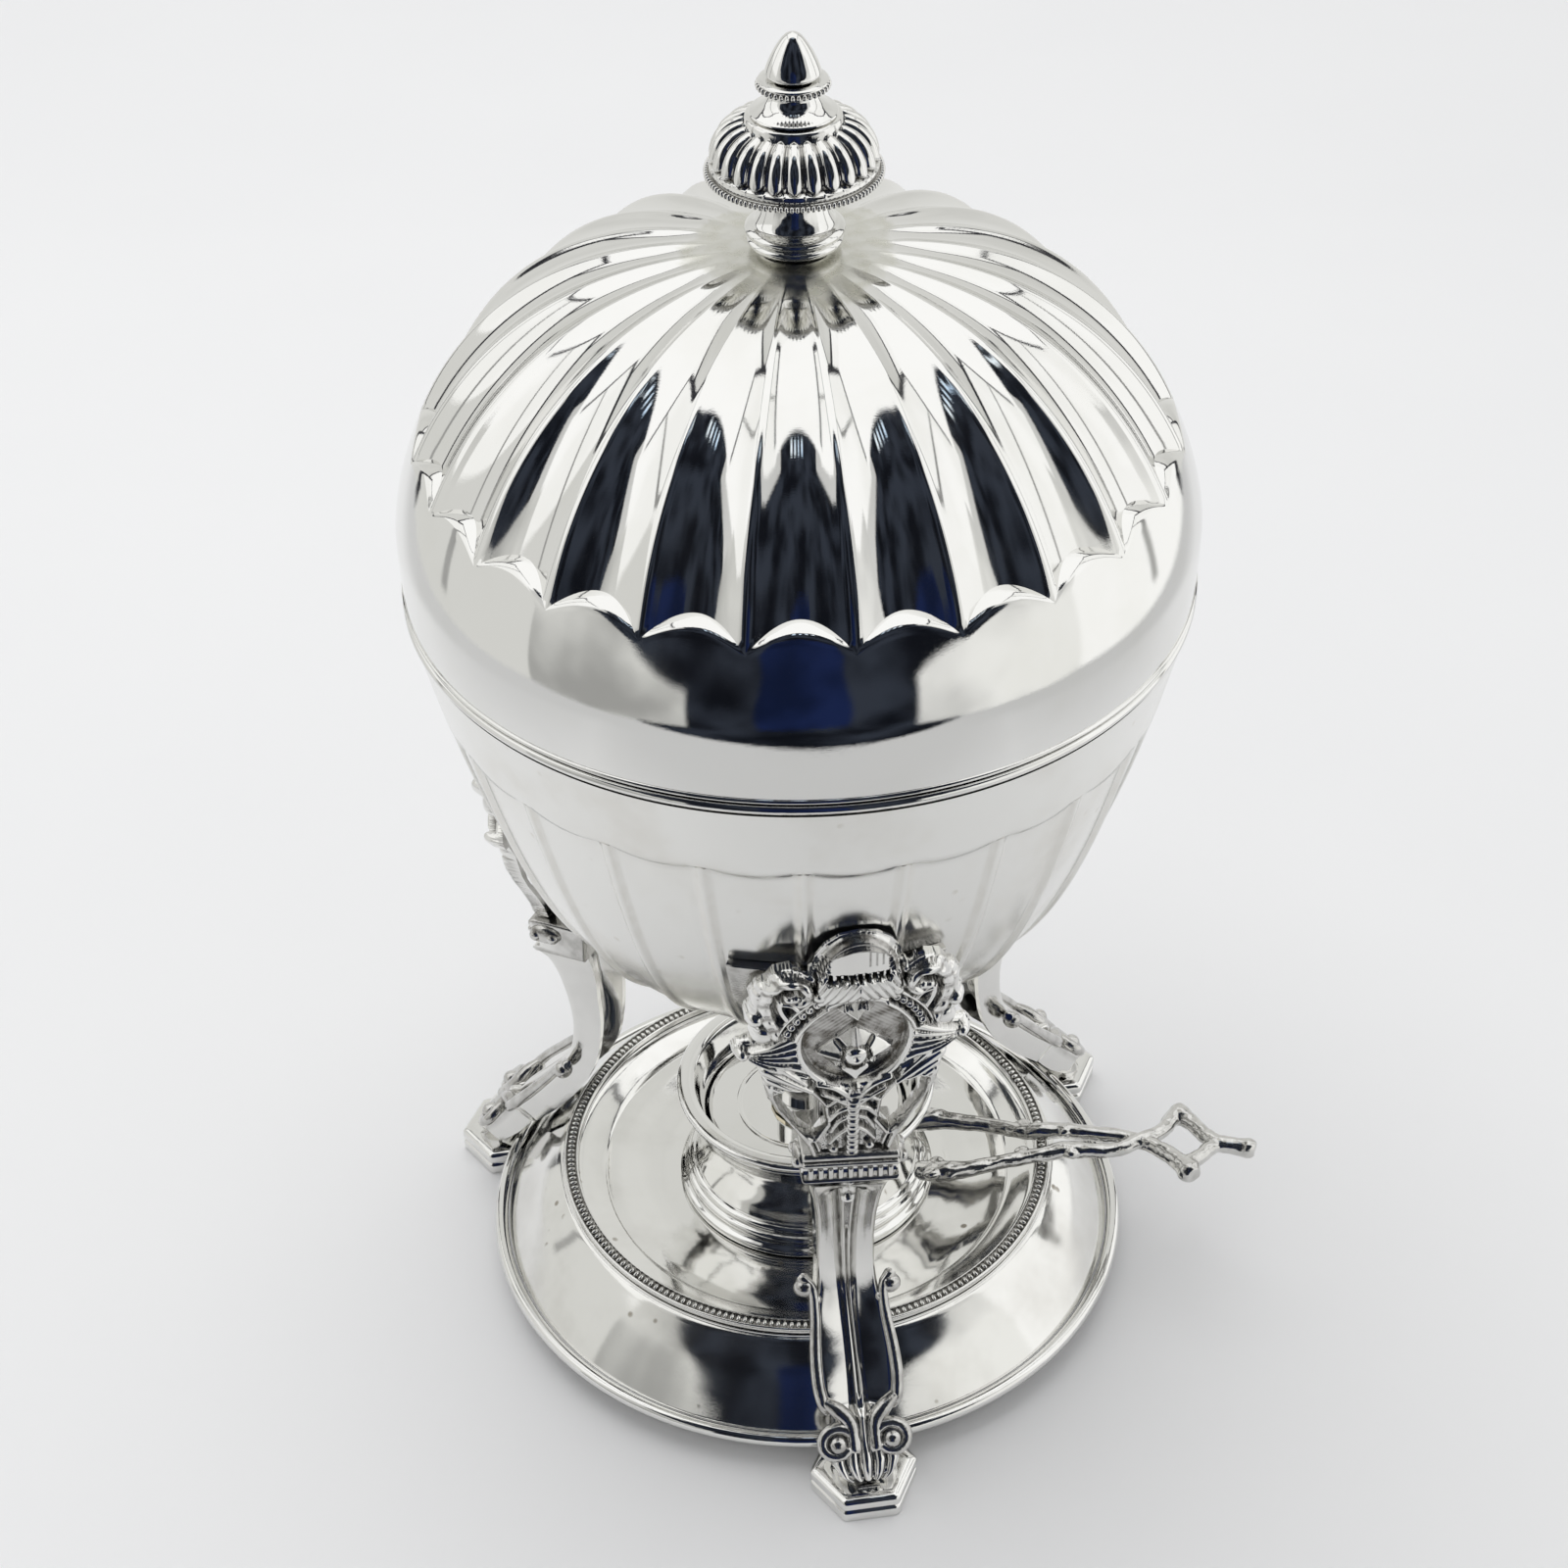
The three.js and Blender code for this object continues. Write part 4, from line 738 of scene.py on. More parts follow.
def segment(x, z, a, b):
    """Distance to a straight line from a to b, and how far along it the nearest place is."""
    ab = np.array(b, dtype=float) - np.array(a)
    t = np.clip(((x - a[0]) * ab[0] + (z - a[1]) * ab[1]) / (ab @ ab), 0, 1)
    return np.hypot(x - a[0] - t * ab[0], z - a[1] - t * ab[1]), t


def polyline(x, z, points):
    """Distance to a smooth chain of points, and how far along its length the nearest place is."""
    points = spline(points, 6 * (len(points) - 1))
    lengths = np.hypot(*np.diff(points, axis=0).T)
    run = 0.0
    best, where = np.full(x.shape, 1e9), np.zeros(x.shape)
    for a, b, span in zip(points, points[1:], lengths):
        d, t = segment(x, z, a, b)
        closer = d < best
        best = np.where(closer, d, best)
        where = np.where(closer, (run + t * span) / lengths.sum(), where)
        run += span
    return best, where


def swell(distance, half, height):
    """A half-round rise of the given half-width, 0 beyond it."""
    return height * np.sqrt(np.clip(1 - (distance / half) ** 2, 0, 1))


NOWHERE = -9.0                   # a height far below everything, where a raised form ends


def ridge(distance, half, height):
    """The same as a bead of its own, nowhere beyond its width."""
    return np.where(distance < half, swell(distance, half, height), NOWHERE)


def line_at(distance, width):
    """1 on a line, falling off within about its width."""
    return np.exp(-(distance / width) ** 2)


def pyramid(x, z, centre, half_x, half_z, height):
    return height * np.clip(1 - np.abs(x - centre[0]) / half_x - np.abs(z - centre[1]) / half_z, 0, 1)


def plate_mesh(x, z, inside, front, back):
    """A closed plate between two height fields, kept where inside is positive, its edge set on the outline."""
    step = abs(x[0, 1] - x[0, 0])
    slope_z, slope_x = np.gradient(inside, step)
    size = np.maximum(np.hypot(slope_x, slope_z), 0.3)
    kept = inside > -0.45 * step
    cell = kept[:-1, :-1] & kept[1:, :-1] & kept[:-1, 1:] & kept[1:, 1:]
    move = np.where(np.abs(inside) < 0.75 * step, -inside, 0.0) / size ** 2
    x, z = x + move * slope_x, z + move * slope_z
    index = np.arange(x.size).reshape(x.shape)
    corners = (index[:-1, :-1], index[:-1, 1:], index[1:, 1:], index[1:, :-1])
    quads = np.stack([corner[cell] for corner in corners], axis=1)
    edges = {}
    for quad in quads.tolist():
        for a, b in zip(quad, quad[1:] + quad[:1]):
            if (b, a) in edges:
                del edges[(b, a)]
            else:
                edges[(a, b)] = True
    walls = [(b, a, a + x.size, b + x.size) for a, b in edges]
    verts = np.vstack([np.stack([x.ravel(), -face.ravel(), z.ravel()], axis=1) for face in (front, back)])
    faces = np.vstack([quads, quads[:, ::-1] + x.size, np.array(walls)])
    used = np.unique(faces)
    renumber = np.full(len(verts), -1)
    renumber[used] = np.arange(len(used))
    return (verts[used], renumber[faces].tolist()), used


# ---- cartouche: a cast plate with a chased relief, symmetrical about its middle ----

class Relief:
    """Height, and tarnish with painted shade, over the plate's face: x across, side its distance from the middle, z
    up.
    """

    def __init__(self, x, z):
        self.x, self.z, self.side = x, z, np.abs(x)
        self.height, self.tarnish_and_shade = np.full(x.shape, -0.5), np.zeros(x.shape)
        self.stipple = 0.09 * np.sin(x * 8.1 + 1.7 * np.sin(z * 4.1)) * np.sin(z * 8.7 + 1.3 * np.sin(x * 5.3))
        self.oval = (1 - np.hypot(x / 8.9, (z - 99.9) / 10.8)) * 8.9     # depth inside the oval's edge

    def rise(self, height, where=True):
        self.height = np.where(where, np.maximum(self.height, height), self.height)

    def level(self, height, where):
        self.height = np.where(where, height, self.height)

    # sets tarnish and painted shade: how dark the face is where given
    def paint_tarnish_and_shade(self, amount, where):
        self.tarnish_and_shade = np.where(where, amount, self.tarnish_and_shade)

    def straps(self, rows, taper, base):
        """Raised lines through points, each with its half-width and height, thinning along their way."""
        for points, wide, high in rows:
            d, t = polyline(self.side, self.z, points)
            self.rise(ridge(d, wide * (taper[0] - taper[1] * t), high) + base)

    def studs(self, rows):
        """Round bosses: place across, height, radius, rise and level."""
        for cx, cz, wide, high, base in rows:
            self.rise(ridge(np.hypot(self.side - cx, self.z - cz), wide, high) + base)


def chase_oval(f):
    """A sunk field, hatched in its upper half and stippled below, with a raised edge."""
    sunk = smoothstep(f.oval / 0.6)
    hatch = np.sin((f.side * 0.9 + (f.z - 99.0)) * 7.0)
    upper = smoothstep((f.z - 100.5) / 3.0)
    floor = -2.0 + 0.5 * smoothstep(1 - f.oval / 6) + 0.14 * hatch * upper + f.stipple * (1 - upper)
    f.height = f.height * (1 - sunk) + sunk * floor
    # tarnish and painted shade: the sunk field is painted dark, darkest next to its raised edge, varied by the
    # hatching and stipple
    f.tarnish_and_shade = sunk * (0.92 - 0.20 * hatch * upper - 1.6 * f.stipple * (1 - upper)
                     + 0.3 * smoothstep(1 - f.oval / 2.2))
    f.rise(ridge(np.abs(f.oval + 0.5), 0.7, 0.9) - 0.45)


def chase_rosette(f):
    """Four faceted petals round a ringed boss, with three points above."""
    z = f.z - 97.4
    z = np.where(z < 0, z * 0.85, z)
    up, radius = np.abs(z), np.hypot(f.x, z)
    diamond = 1 - f.side / 6.5 - up / 6.2
    valley = np.abs(f.side / 6.5 - up / 6.2) * 6.4
    lower = z < -f.side * 0.6
    steep, high = np.where(lower, 4.5, 1.4), np.where(lower, 2.0, 2.6)
    petal = -1.1 + high * np.clip(diamond * steep, 0, 1) ** 0.8 + 0.35 * line_at(np.minimum(f.side, up), 0.5)
    f.rise(petal - 1.3 * line_at(valley, 0.5) * smoothstep(diamond * 7), diamond > 0)
    # painted shade: a dark ring round the petals, one side of each petal darker, and dark lines down the valleys
    # between them
    f.paint_tarnish_and_shade(0.95, (diamond <= 0) & (diamond > -0.16))
    facets = 0.28 * smoothstep((-f.x * 0.6 - z) * np.sign(f.side - up) / 1.5)
    f.paint_tarnish_and_shade(np.maximum(facets, 0.85 * line_at(valley, 0.6)), diamond > 0)
    f.level(np.minimum(f.height, -0.2), radius < 2.6)
    # painted shade: a dark ring round the boss, whose top is left clean
    f.paint_tarnish_and_shade(0.8, np.abs(radius - 2.45) < 0.35)
    f.rise(ridge(radius, 2.1, 1.7) + 0.2)
    f.height -= 0.9 * line_at(radius, 0.6)
    f.paint_tarnish_and_shade(0.0, radius < 2.1)
    points = pyramid(f.x, f.z, (0, 106.8), 2.0, 3.0, 2.6)
    points = np.maximum(points, pyramid(f.side, f.z, (1.9, 107.6), 1.4, 1.1, 1.6))
    f.rise(points - 1.5)
    f.paint_tarnish_and_shade(0.1, points > 0.3)


def chase_palmettes(f):
    """Ribs that spread from an outer tip to the edge of the oval, and the leaves that hang below."""
    across, up = 18.9 - f.side, f.z - 97.6
    reach = np.hypot(across, up)
    share = (np.arctan2(up, across) + 0.62) / 1.16
    where = (share > 0) & (share < 1) & (reach > 0.8) & (f.oval < -0.8) & (reach < 12.5)
    rib = np.abs(((share * 6) % 1) - 0.5) * 2
    high = -0.45 + 1.25 * np.sqrt(1 - rib ** 2) * smoothstep(reach / 2.5)
    high += 0.55 * np.sin(np.clip(reach / 9, 0, 1) * math.pi)
    f.level(np.maximum(high, -0.7), where)
    f.studs([(18.5, 97.6, 1.45, 2.4, -0.5)])
    for a, b, wide, high in (((14.6, 93.6), (7.2, 88.9), 1.0, 1.2), ((14.3, 91.4), (8.4, 87.9), 0.8, 0.9),
                             ((13.9, 89.4), (10.2, 87.4), 0.65, 0.7), ((12.4, 94.6), (8.0, 90.6), 0.7, 1.0)):
        d, t = segment(f.side, f.z, a, b)
        f.rise(ridge(d, wide * (1.15 - 0.5 * t), high) + 0.15)


def chase_acanthus(f):
    """The leaf beside the crest, rolled over at its top, with veins and bead-like lobes."""
    d, t = polyline(f.side, f.z, [(12.8, 103.6), (14.3, 107.4), (14.9, 111.4), (13.9, 115.6), (11.3, 117.9),
                                  (8.9, 116.9), (8.4, 114.6), (10.0, 113.3), (11.4, 114.4)])
    lobes = np.sin(t * 2 * math.pi * 8 + d * 1.6)
    leaf = ridge(d, 1.25 - 0.4 * t, 1.6) + 0.5 + 1.1 * smoothstep((t - 0.35) / 0.3) + 0.17 * lobes
    # painted shade: dark lines between the lobes
    f.paint_tarnish_and_shade(0.8 * line_at(lobes + 1, 0.35), leaf > f.height)
    f.rise(leaf)
    f.straps([([(11.0, 106.8), (12.4, 109.8), (12.6, 112.2)], 0.6, 1.2),
              ([(9.4, 109.6), (10.6, 111.2), (12.2, 111.6)], 0.55, 1.1),
              ([(16.2, 104.8), (16.6, 108.6), (16.2, 112.4), (15.4, 115.2)], 0.75, 0.9),
              ([(14.9, 116.3), (12.6, 119.2), (9.8, 119.4), (7.6, 117.6)], 0.7, 1.0)], (1.0, 0.0), 0.35)
    f.studs([(16.6, 107.3, 1.7, 2.1, 0.2), (15.3, 102.8, 1.9, 1.0, 0.4), (10.3, 114.4, 1.0, 1.4, 1.6),
             (16.0, 113.4, 1.2, 1.3, 0.2), (12.9, 118.0, 1.2, 1.3, 0.6)])


def chase_beading(f):
    """Beaded strips up each side of the oval, six beads each."""
    d, t = polyline(f.side, f.z, [(11.4, 102.2), (10.4, 105.0), (8.4, 108.2), (5.9, 110.9)])
    on = (t > 0.005) & (t < 0.995)
    f.level(-0.2, (d < 2.0) & on)
    f.level(-0.9, (d < 1.2) & on)
    # painted shade: the channel under the beads is painted dark, the beads are left clean
    f.paint_tarnish_and_shade(0.85, (d < 1.2) & on)
    f.rise(ridge(np.abs(d - 1.6), 0.42, 0.9) + 0.1, on)
    along = ((t * 6.0) % 1 - 0.5) * 10.6 / 6.0
    bead = np.hypot(along, d) / 0.88
    f.rise(swell(bead, 1.0, 1.5) - 0.8, on & (bead < 1))
    f.paint_tarnish_and_shade(0.0, on & (bead < 0.9))
    f.level(f.height - 0.6 * np.exp(-((along - 0.25) ** 2 + d ** 2) / 0.10), on)


def chase_crest(f):
    """A rolled shell with a plain visor, teeth under its lip, a fluted cup and ribbed cheeks."""
    lip = 118.9 - 0.022 * f.x ** 2
    rho = np.hypot(f.x / 7.0, (f.z - 117.0) / 9.3)
    rings = np.cos((rho - 0.66) / 0.34 * 3.4 * 2 * math.pi)
    hood = 5.0 * np.sqrt(np.clip(1 - rho ** 2, 0, 1)) - 1.9 + 0.17 * rings * smoothstep((rho - 0.62) / 0.05)
    visor = smoothstep((1 - np.hypot(f.x / 5.7, (f.z - 118.7) / 5.2)) / 0.08)
    hood = hood * (1 - visor) + visor * (1.7 - 0.06 * (f.z - lip) - 0.03 * f.x ** 2)
    ribs = 0.34 * np.sin((f.side * 0.75 - (f.z - 118.0)) * 5.2) * smoothstep((f.side - 4.2) / 0.5)
    hood += np.where((f.side > 4.8) & (f.z < 122), ribs, 0)
    over = f.z > lip
    f.rise(hood, over & (rho < 1))
    # painted shade: the hood is painted dark in place of a dark reflection, lighter on its ring arcs; the visor is
    # left clean and its slits painted dark
    arcs = np.clip(rings - 0.55, 0, 1) * 2.2
    shade = 1.0 - 0.9 * arcs * smoothstep((f.x - 1.0) / 3.0) - 0.9 * smoothstep((rho - 0.93) / 0.05)
    f.paint_tarnish_and_shade(shade, over & (rho < 1) & (visor < 0.5))
    f.paint_tarnish_and_shade(0.0, over & (visor >= 0.5))
    slits = (visor > 0.6) & (f.z > lip + 1.4) & (f.x > 0.8) & (np.abs(((f.x / 1.05) % 1) - 0.5) < 0.17)
    f.paint_tarnish_and_shade(0.95, slits)

    below = lip - f.z
    mouth = (below >= 0) & (f.side < 6.8)
    flute = np.abs(np.sin((f.side * 0.9 - below * 0.5) * 2.3))
    cup = 0.6 + swell(below - 3.6, 3.3, 1.5) * swell(f.x, 7.4, 1.0) + 0.5 * flute
    f.rise(cup, mouth & (below < 6.9))
    # painted shade: dark lines in the valleys of the cup's flutes
    f.paint_tarnish_and_shade(0.75 * line_at(flute, 0.28), mouth & (below < 6.0))
    teeth = mouth & (below < 1.7) & (f.side < 5.2)
    tooth = np.abs(((f.x / 1.15) % 1) - 0.5) < 0.26
    f.level(np.where(tooth, 1.2, 0.0), teeth)
    # painted shade: the gaps between the teeth
    f.paint_tarnish_and_shade(1.0, teeth & ~tooth)
    f.studs([(6.3, 113.4, 1.1, 1.0, 1.0), (2.6, 112.4, 0.9, 0.8, 0.8)])


def chase_foot(f, foot, opening):
    """Below the oval: a stippled ground, the outer straps, a notched spine and its leaves."""
    d, _ = polyline(f.side, f.z, [(7.0, foot + 0.8), (8.3, 75.4), (11.1, 80.2), (13.6, 85.0), (14.3, 89.4)])
    ground = (f.z < 90.6) & (f.height < 0.1) & (f.oval < -0.9)
    f.level(-0.9 + f.stipple * 2.2, ground)
    # tarnish and painted shade: the stippled ground is darkened, varied by the stipple
    f.paint_tarnish_and_shade(0.36 - 2.2 * f.stipple, ground)
    f.rise(ridge(d, 1.1, 1.3) - 0.1)
    f.rise(ridge(np.abs(d - 1.55), 0.3, 0.4) - 0.5)
    rungs = 0.42 * np.abs(np.sin((f.z - 71.0) * 2.3)) ** 0.6
    f.rise(ridge(f.side, 1.3, 1.3) - 0.3 + rungs * (f.side < 1.0), (f.z > foot + 1.2) & (f.z < 89.0))
    f.straps([([(0.8, 86.6), (3.2, 89.2), (6.0, 90.4)], 0.75, 1.1),
              ([(0.9, 84.4), (3.4, 86.4), (5.2, 87.6)], 0.6, 0.9),
              ([(1.0, 83.4), (2.6, 82.6), (4.2, 80.2)], 0.6, 0.9),
              ([(1.0, 80.8), (2.4, 79.8), (3.6, 77.4)], 0.5, 0.7),
              ([(1.0, 77.8), (2.4, 76.4), (3.8, 74.4)], 0.5, 0.7),
              ([(1.0, 85.6), (2.6, 85.8), (4.4, 84.4)], 0.5, 0.8)], (1.1, 0.35), 0.05)
    f.studs([(3.1, 72.4, 0.9, 0.9, -0.1)])
    # painted shade: two pits down the spine are painted dark
    for z in (88.0, 86.0):
        pit = np.exp(-(f.x ** 2 + (f.z - z) ** 2) / 0.35)
        f.height = f.height - pit
        f.tarnish_and_shade = np.maximum(f.tarnish_and_shade, pit)
    f.rise(swell(np.abs(opening + 0.5), 0.55, 0.7) - 0.1, opening > -1.2)


def build_cartouche():
    step = 0.18
    foot = extent("leg_cartouche_1")[1]
    x, z = np.meshgrid(np.arange(-20.5, 20.5 + step, step), np.arange(foot - 0.6, 128.4, step))
    half = [
        (6.8, foot), (7.6, 73.6), (9.8, 78.0), (12.6, 82.8), (14.2, 86.4), (14.8, 89.5), (15.2, 91.8), (16.4, 93.8),
        (17.4, 95.6), (19.2, 96.4), (20.0, 97.8), (19.0, 99.4), (17.0, 100.0), (17.1, 102.0), (16.4, 104.4),
        (17.9, 106.4), (18.0, 108.4), (16.9, 110.2), (17.3, 112.6), (16.0, 115.6), (14.6, 116.6), (13.4, 118.8),
        (10.6, 119.8), (8.0, 118.4), (7.2, 119.2), (6.9, 121.2), (5.4, 124.0), (3.0, 125.7), (0.0, 126.2),
    ]
    hole = [(4.6, 79.0), (6.4, 75.6), (9.2, 78.8), (11.9, 83.8), (12.5, 87.0), (10.8, 88.4), (7.6, 87.8), (5.2, 84.0)]
    opening = inside_outline(np.abs(x), z, hole)
    inside = np.minimum(inside_outline(x, z, half + [(-a, b) for a, b in half[-2::-1]]), -opening)
    f = Relief(x, z)
    chase_oval(f)
    chase_rosette(f)
    chase_palmettes(f)
    chase_acanthus(f)
    chase_beading(f)
    chase_crest(f)
    chase_foot(f, foot, opening)

    # the plate leans out towards its top and curves with the bowl; its edge is rounded
    lean_z, lean = zip((66.0, 50.6), (80.4, 52.2), (92.0, 53.9), (97.0, 54.6), (106.0, 56.0), (112.0, 57.0),
                       (118.0, 57.9), (128.0, 58.9))
    back_z, back_line = zip((66.0, 47.9), (80.4, 49.6), (97.0, 51.6), (108.0, 53.6), (115.4, 55.4), (123.4, 56.9),
                            (131.4, 57.3))
    edge = np.clip(1 - inside, 0, 1)
    front = np.interp(z, lean_z, lean) - 0.0086 * x ** 2 + f.height - 1.9 * (1 - np.sqrt(1 - edge ** 2))
    back = np.interp(z, back_z, back_line) - 0.0070 * x ** 2 + 0.1
    skin, used = plate_mesh(x, z, inside, np.maximum(front, back + 0.5), back)
    painted = np.concatenate([f.tarnish_and_shade.ravel(), np.zeros(f.tarnish_and_shade.size)])[used]
    leg_copies("cartouche", skin, "leg_cartouche", sharp=75,
               hollow=np.maximum(hollow_of(skin, 0.30) * 0.8, painted))


# ---- column, with its capital ----

TWIST = 0.085                    # how far the column's upper part is turned in the casting
LEAN = (0, -0.7, 0.7)            # up across the column's tubes, so that their rings don't twist
_, _, COLUMN_TOP = extent("leg_column_1")
COLUMN_HEAD = COLUMN_TOP - 12.8  # where the coves end under the capital


def falling(z, heights, values):
    """Values between heights that are listed from the top down."""
    return np.interp(-z, -np.array(heights), values)


class ColumnFace:
    """The line down the column's front, and places across it."""

    def __init__(self):
        self.line = spline([
            (50.4, COLUMN_TOP - 7.5), (48.6, COLUMN_TOP - 10.2), (47.3, 55.5), (46.4, 50.5), (45.8, 45.5),
            (45.8, 40.5), (46.6, 36.0), (48.3, 32.0), (50.9, 28.2), (54.1, 24.6), (57.4, 21.0), (60.3, 17.4),
            (62.6, 13.8), (64.9, 10.9), (67.3, 8.6), (68.4, 6.4)], 170)
        self.length, self.normal = measured(self.line, -1)
        self.height = self.line[:, 1]

    def place(self, x, s, lift):
        """A point at x across the leg, s along the line, and lift out from the face."""
        r = np.interp(s, self.length, self.line[:, 0]) + lift * np.interp(s, self.length, self.normal[:, 0])
        up = np.interp(s, self.length, self.height) + lift * np.interp(s, self.length, self.normal[:, 1])
        return np.stack([x + 0 * r, -r - TWIST * x * smoothstep((up - 12) / 22), up], axis=-1)

    def at_height(self, z):
        return float(falling(z, self.height, self.length))


def column_shaft(face):
    """Coved on both sides of a slotted rib, spread into five toes at the foot; and the shade painted on it."""
    head, height = COLUMN_HEAD, face.height
    wide = falling(height, [head + 5.4, head + 2.9, 56, 50, 44, 38, 34, 30, 24, 19, 15.5, 12, 9, 7.2, 6.4],
                   [8.2, 7.0, 6.0, 5.3, 5.0, 5.0, 5.3, 6.0, 6.8, 6.6, 4.6, 5.2, 6.1, 5.0, 3.6])
    depth = falling(height, [head + 5.4, 58, 50, 40, 32, 24, 17, 12, 6.4],
                    [9.5, 8.6, 6.8, 5.8, 5.8, 6.0, 5.6, 5.0, 3.4])
    middle_rib = falling(height, [head + 1.8, head + 1.2, head, 46, 36, 24, 15],
                         [0.05, 1.2, 1.65, 1.05, 0.75, 0.95, 1.1])
    cove_power = falling(height, [head, 46, 36, 26], [4.2, 3.2, 1.7, 1.25])
    toes = face.at_height(17.0)
    u = np.linspace(-1, 1, 57)
    rows, shades = [], []
    for z, s, w, d, rib, power in zip(height, face.length, wide, depth, middle_rib, cove_power):
        x = u * w
        side = np.abs(x)
        on = smoothstep((z - 14.0) / 3.0)
        deep = 1.5 * smoothstep((head + 2.2 - z) / 2.4) * smoothstep((z - 14.5) / 3.0)
        lift = -deep * (1 - np.clip((side - rib) / (w - rib), 0, 1)) ** power
        lift += np.where(side < rib, (deep + 0.25 * on) * (1 - (side / max(rib, 0.06)) ** 6), 0)
        slot = line_at(side, 0.2) * smoothstep((z - 17.0) / 2.0) * smoothstep((head - 9 - z) / 3)
        hole = np.exp(-((x / 0.85) ** 2 + ((z - head + 0.9) / 0.85) ** 2) ** 2)
        lift -= 0.5 * slot + 1.9 * hole
        # painted shade: dark in the hole and the slot, and in a line beside each side of the rib
        shade = np.maximum(0.9 * hole, 0.8 * slot)
        shade = np.maximum(shade, 0.8 * line_at(side - rib - 0.15, 0.22) * on * (z < head + 1))
        if s > toes:
            fade = smoothstep((s - toes) / 2.5)
            toe = np.sin(math.pi * (((u * 0.98 + 1) / 2 * 5) % 1))
            lift += fade * (1.3 * toe ** 0.6 - 0.3 + 0.8 * np.clip(1 - (x / 6.5) ** 2, 0, 1))
            # painted shade: dark lines between the toes
            shade = np.maximum(shade * (1 - fade), fade * 0.7 * line_at(toe, 0.24))
        lift -= 0.7 * np.clip((side / w - 0.86) / 0.14, 0, 1) ** 2
        back_x = [w, w, w - 1.2, w - 1.5, w - 2.0, 0, 2.0 - w, 1.5 - w, 1.2 - w, -w, -w]
        back_lift = np.array([-1.6, -d, -d, -2.8, -2.4, -2.2, -2.4, -2.8, -d, -d, -1.6])
        rows.append(np.vstack([face.place(x, s, lift), face.place(np.array(back_x), s, back_lift)]))
        shades.append(np.concatenate([shade, np.zeros(len(back_x))]))
    return lofted(rows), np.concatenate(shades)


def column_scrolls(face):
    """A strap and a volute with its ball on each side, and the hem along the foot."""
    place, at_height = face.place, face.at_height
    strap = [(7.7, 34.8, -1.2, 1.1), (6.3, 33.2, -0.3, 0.9), (6.2, 29.6, 0.0, 0.95), (6.9, 24.5, 0.0, 1.1),
             (7.1, 20.5, 0.0, 1.15), (6.6, 17.6, 0.1, 1.15), (6.0, 16.4, -0.2, 0.8)]
    # the volute comes in from the border, and goes round under its ball and up the outside
    curl = [(6.0, -7.4, 0.3, 1.1), (4.1, -5.9, 0.9, 1.45), (2.2, -3.2, 1.2, 1.5)]
    for t in np.linspace(0, 1, 12):
        angle, reach = math.radians(150 + t * 350), 3.3 - 1.1 * t
        curl.append((4.9 + reach * math.cos(angle), reach * math.sin(angle), 1.2 + 0.6 * t, 1.4 - 0.5 * t))
    centre = at_height(11.6)
    parts = []
    for side in (-1, 1):
        down = [(*place(side * x, at_height(z), lift), r) for x, z, lift, r in strap]
        round_ball = [(*place(side * x, centre + ds, lift), r) for x, ds, lift, r in curl]
        parts += [tube(down, 30, 10, LEAN), blob((2.0, 1.8, 1.8), place(side * 7.6, at_height(33.4), -1.0)),
                  blob((1.1, 1.1, 1.1), place(side * 5.8, at_height(31.6), -0.5)),
                  tube(round_ball, 56, 12, LEAN), blob((1.75, 1.8, 1.8), place(side * 4.9, centre, 1.9))]
    hem = [(*place(x, face.length[-1] - 0.5 - 0.05 * x * x, 0.3), 0.75) for x in np.linspace(-4.6, 4.6, 9)]
    return [*parts, tube(hem, 28, 10, LEAN)]


def capital():
    """A slotted bar over a row of dentils, with a volute at each end."""
    slab, faces = bar(rounded([
        (40.0, -7.5), (50.2, -7.5, 0.3), (50.9, -6.9, 0.3), (50.4, -6.4, 0.1), (49.3, -6.2), (49.3, -3.5),
        (50.6, -3.3, 0.1), (51.4, -2.8, 0.3), (51.5, -2.1, 0.3), (50.4, -1.8), (50.4, -1.3), (51.3, -1.2, 0.1),
        (51.3, -0.5, 0.3), (50.6, -0.02, 0.3), (40.0, -0.02)], 3, COLUMN_TOP), 8.3, 0.5)
    slab[:, 1] -= TWIST * slab[:, 0]
    tooth = rounded([(49.0, -6.1), (50.9, -6.1, 0.3), (51.0, -3.7, 0.3), (49.0, -3.5)], 3, COLUMN_TOP)
    dentil = bar(tooth, 0.42, 0.25, 2)
    parts = [(slab, faces)] + [moved(dentil, (x, -TWIST * x, 0)) for x in 1.7 * np.arange(-4, 5)]
    for side in (-1, 1):
        shift = TWIST * side * 8.5
        parts.append(blob((1.3, 3.2, 2.0), (side * 8.3, -47.6 - shift, COLUMN_TOP - 2.5)))
        parts += [blob((1.1, 1.2, 1.2), (side * 8.9, y - shift, COLUMN_TOP - 2.7)) for y in (-46.0, -49.4)]
    return parts


def build_column():
    face = ColumnFace()
    shaft, painted = column_shaft(face)
    skin = joined([shaft, *column_scrolls(face), *capital()])
    hollow = hollow_of(skin, 0.35) * 0.5
    hollow[:len(painted)] = painted
    _, y, z = skin[0][len(painted):].T
    z = z - COLUMN_TOP
    # painted shade: the recess behind the dentils and the slot along the bar are painted dark
    recess = (y > -49.6) & (y < -49.0) & (z > -6.4) & (z < -3.4)
    slot = (y > -50.5) & (z > -1.9) & (z < -1.25)
    hollow[len(painted):] = np.where(recess | slot, 0.95, hollow[len(painted):])
    leg_copies("column", skin, "leg_column", sharp=50, hollow=hollow)


# ---- lug and plinth ----

LUG_WIDTH, LUG_HEIGHT = (-21.6, 15.8), 12.4     # degrees round the bowl, and the plate's height


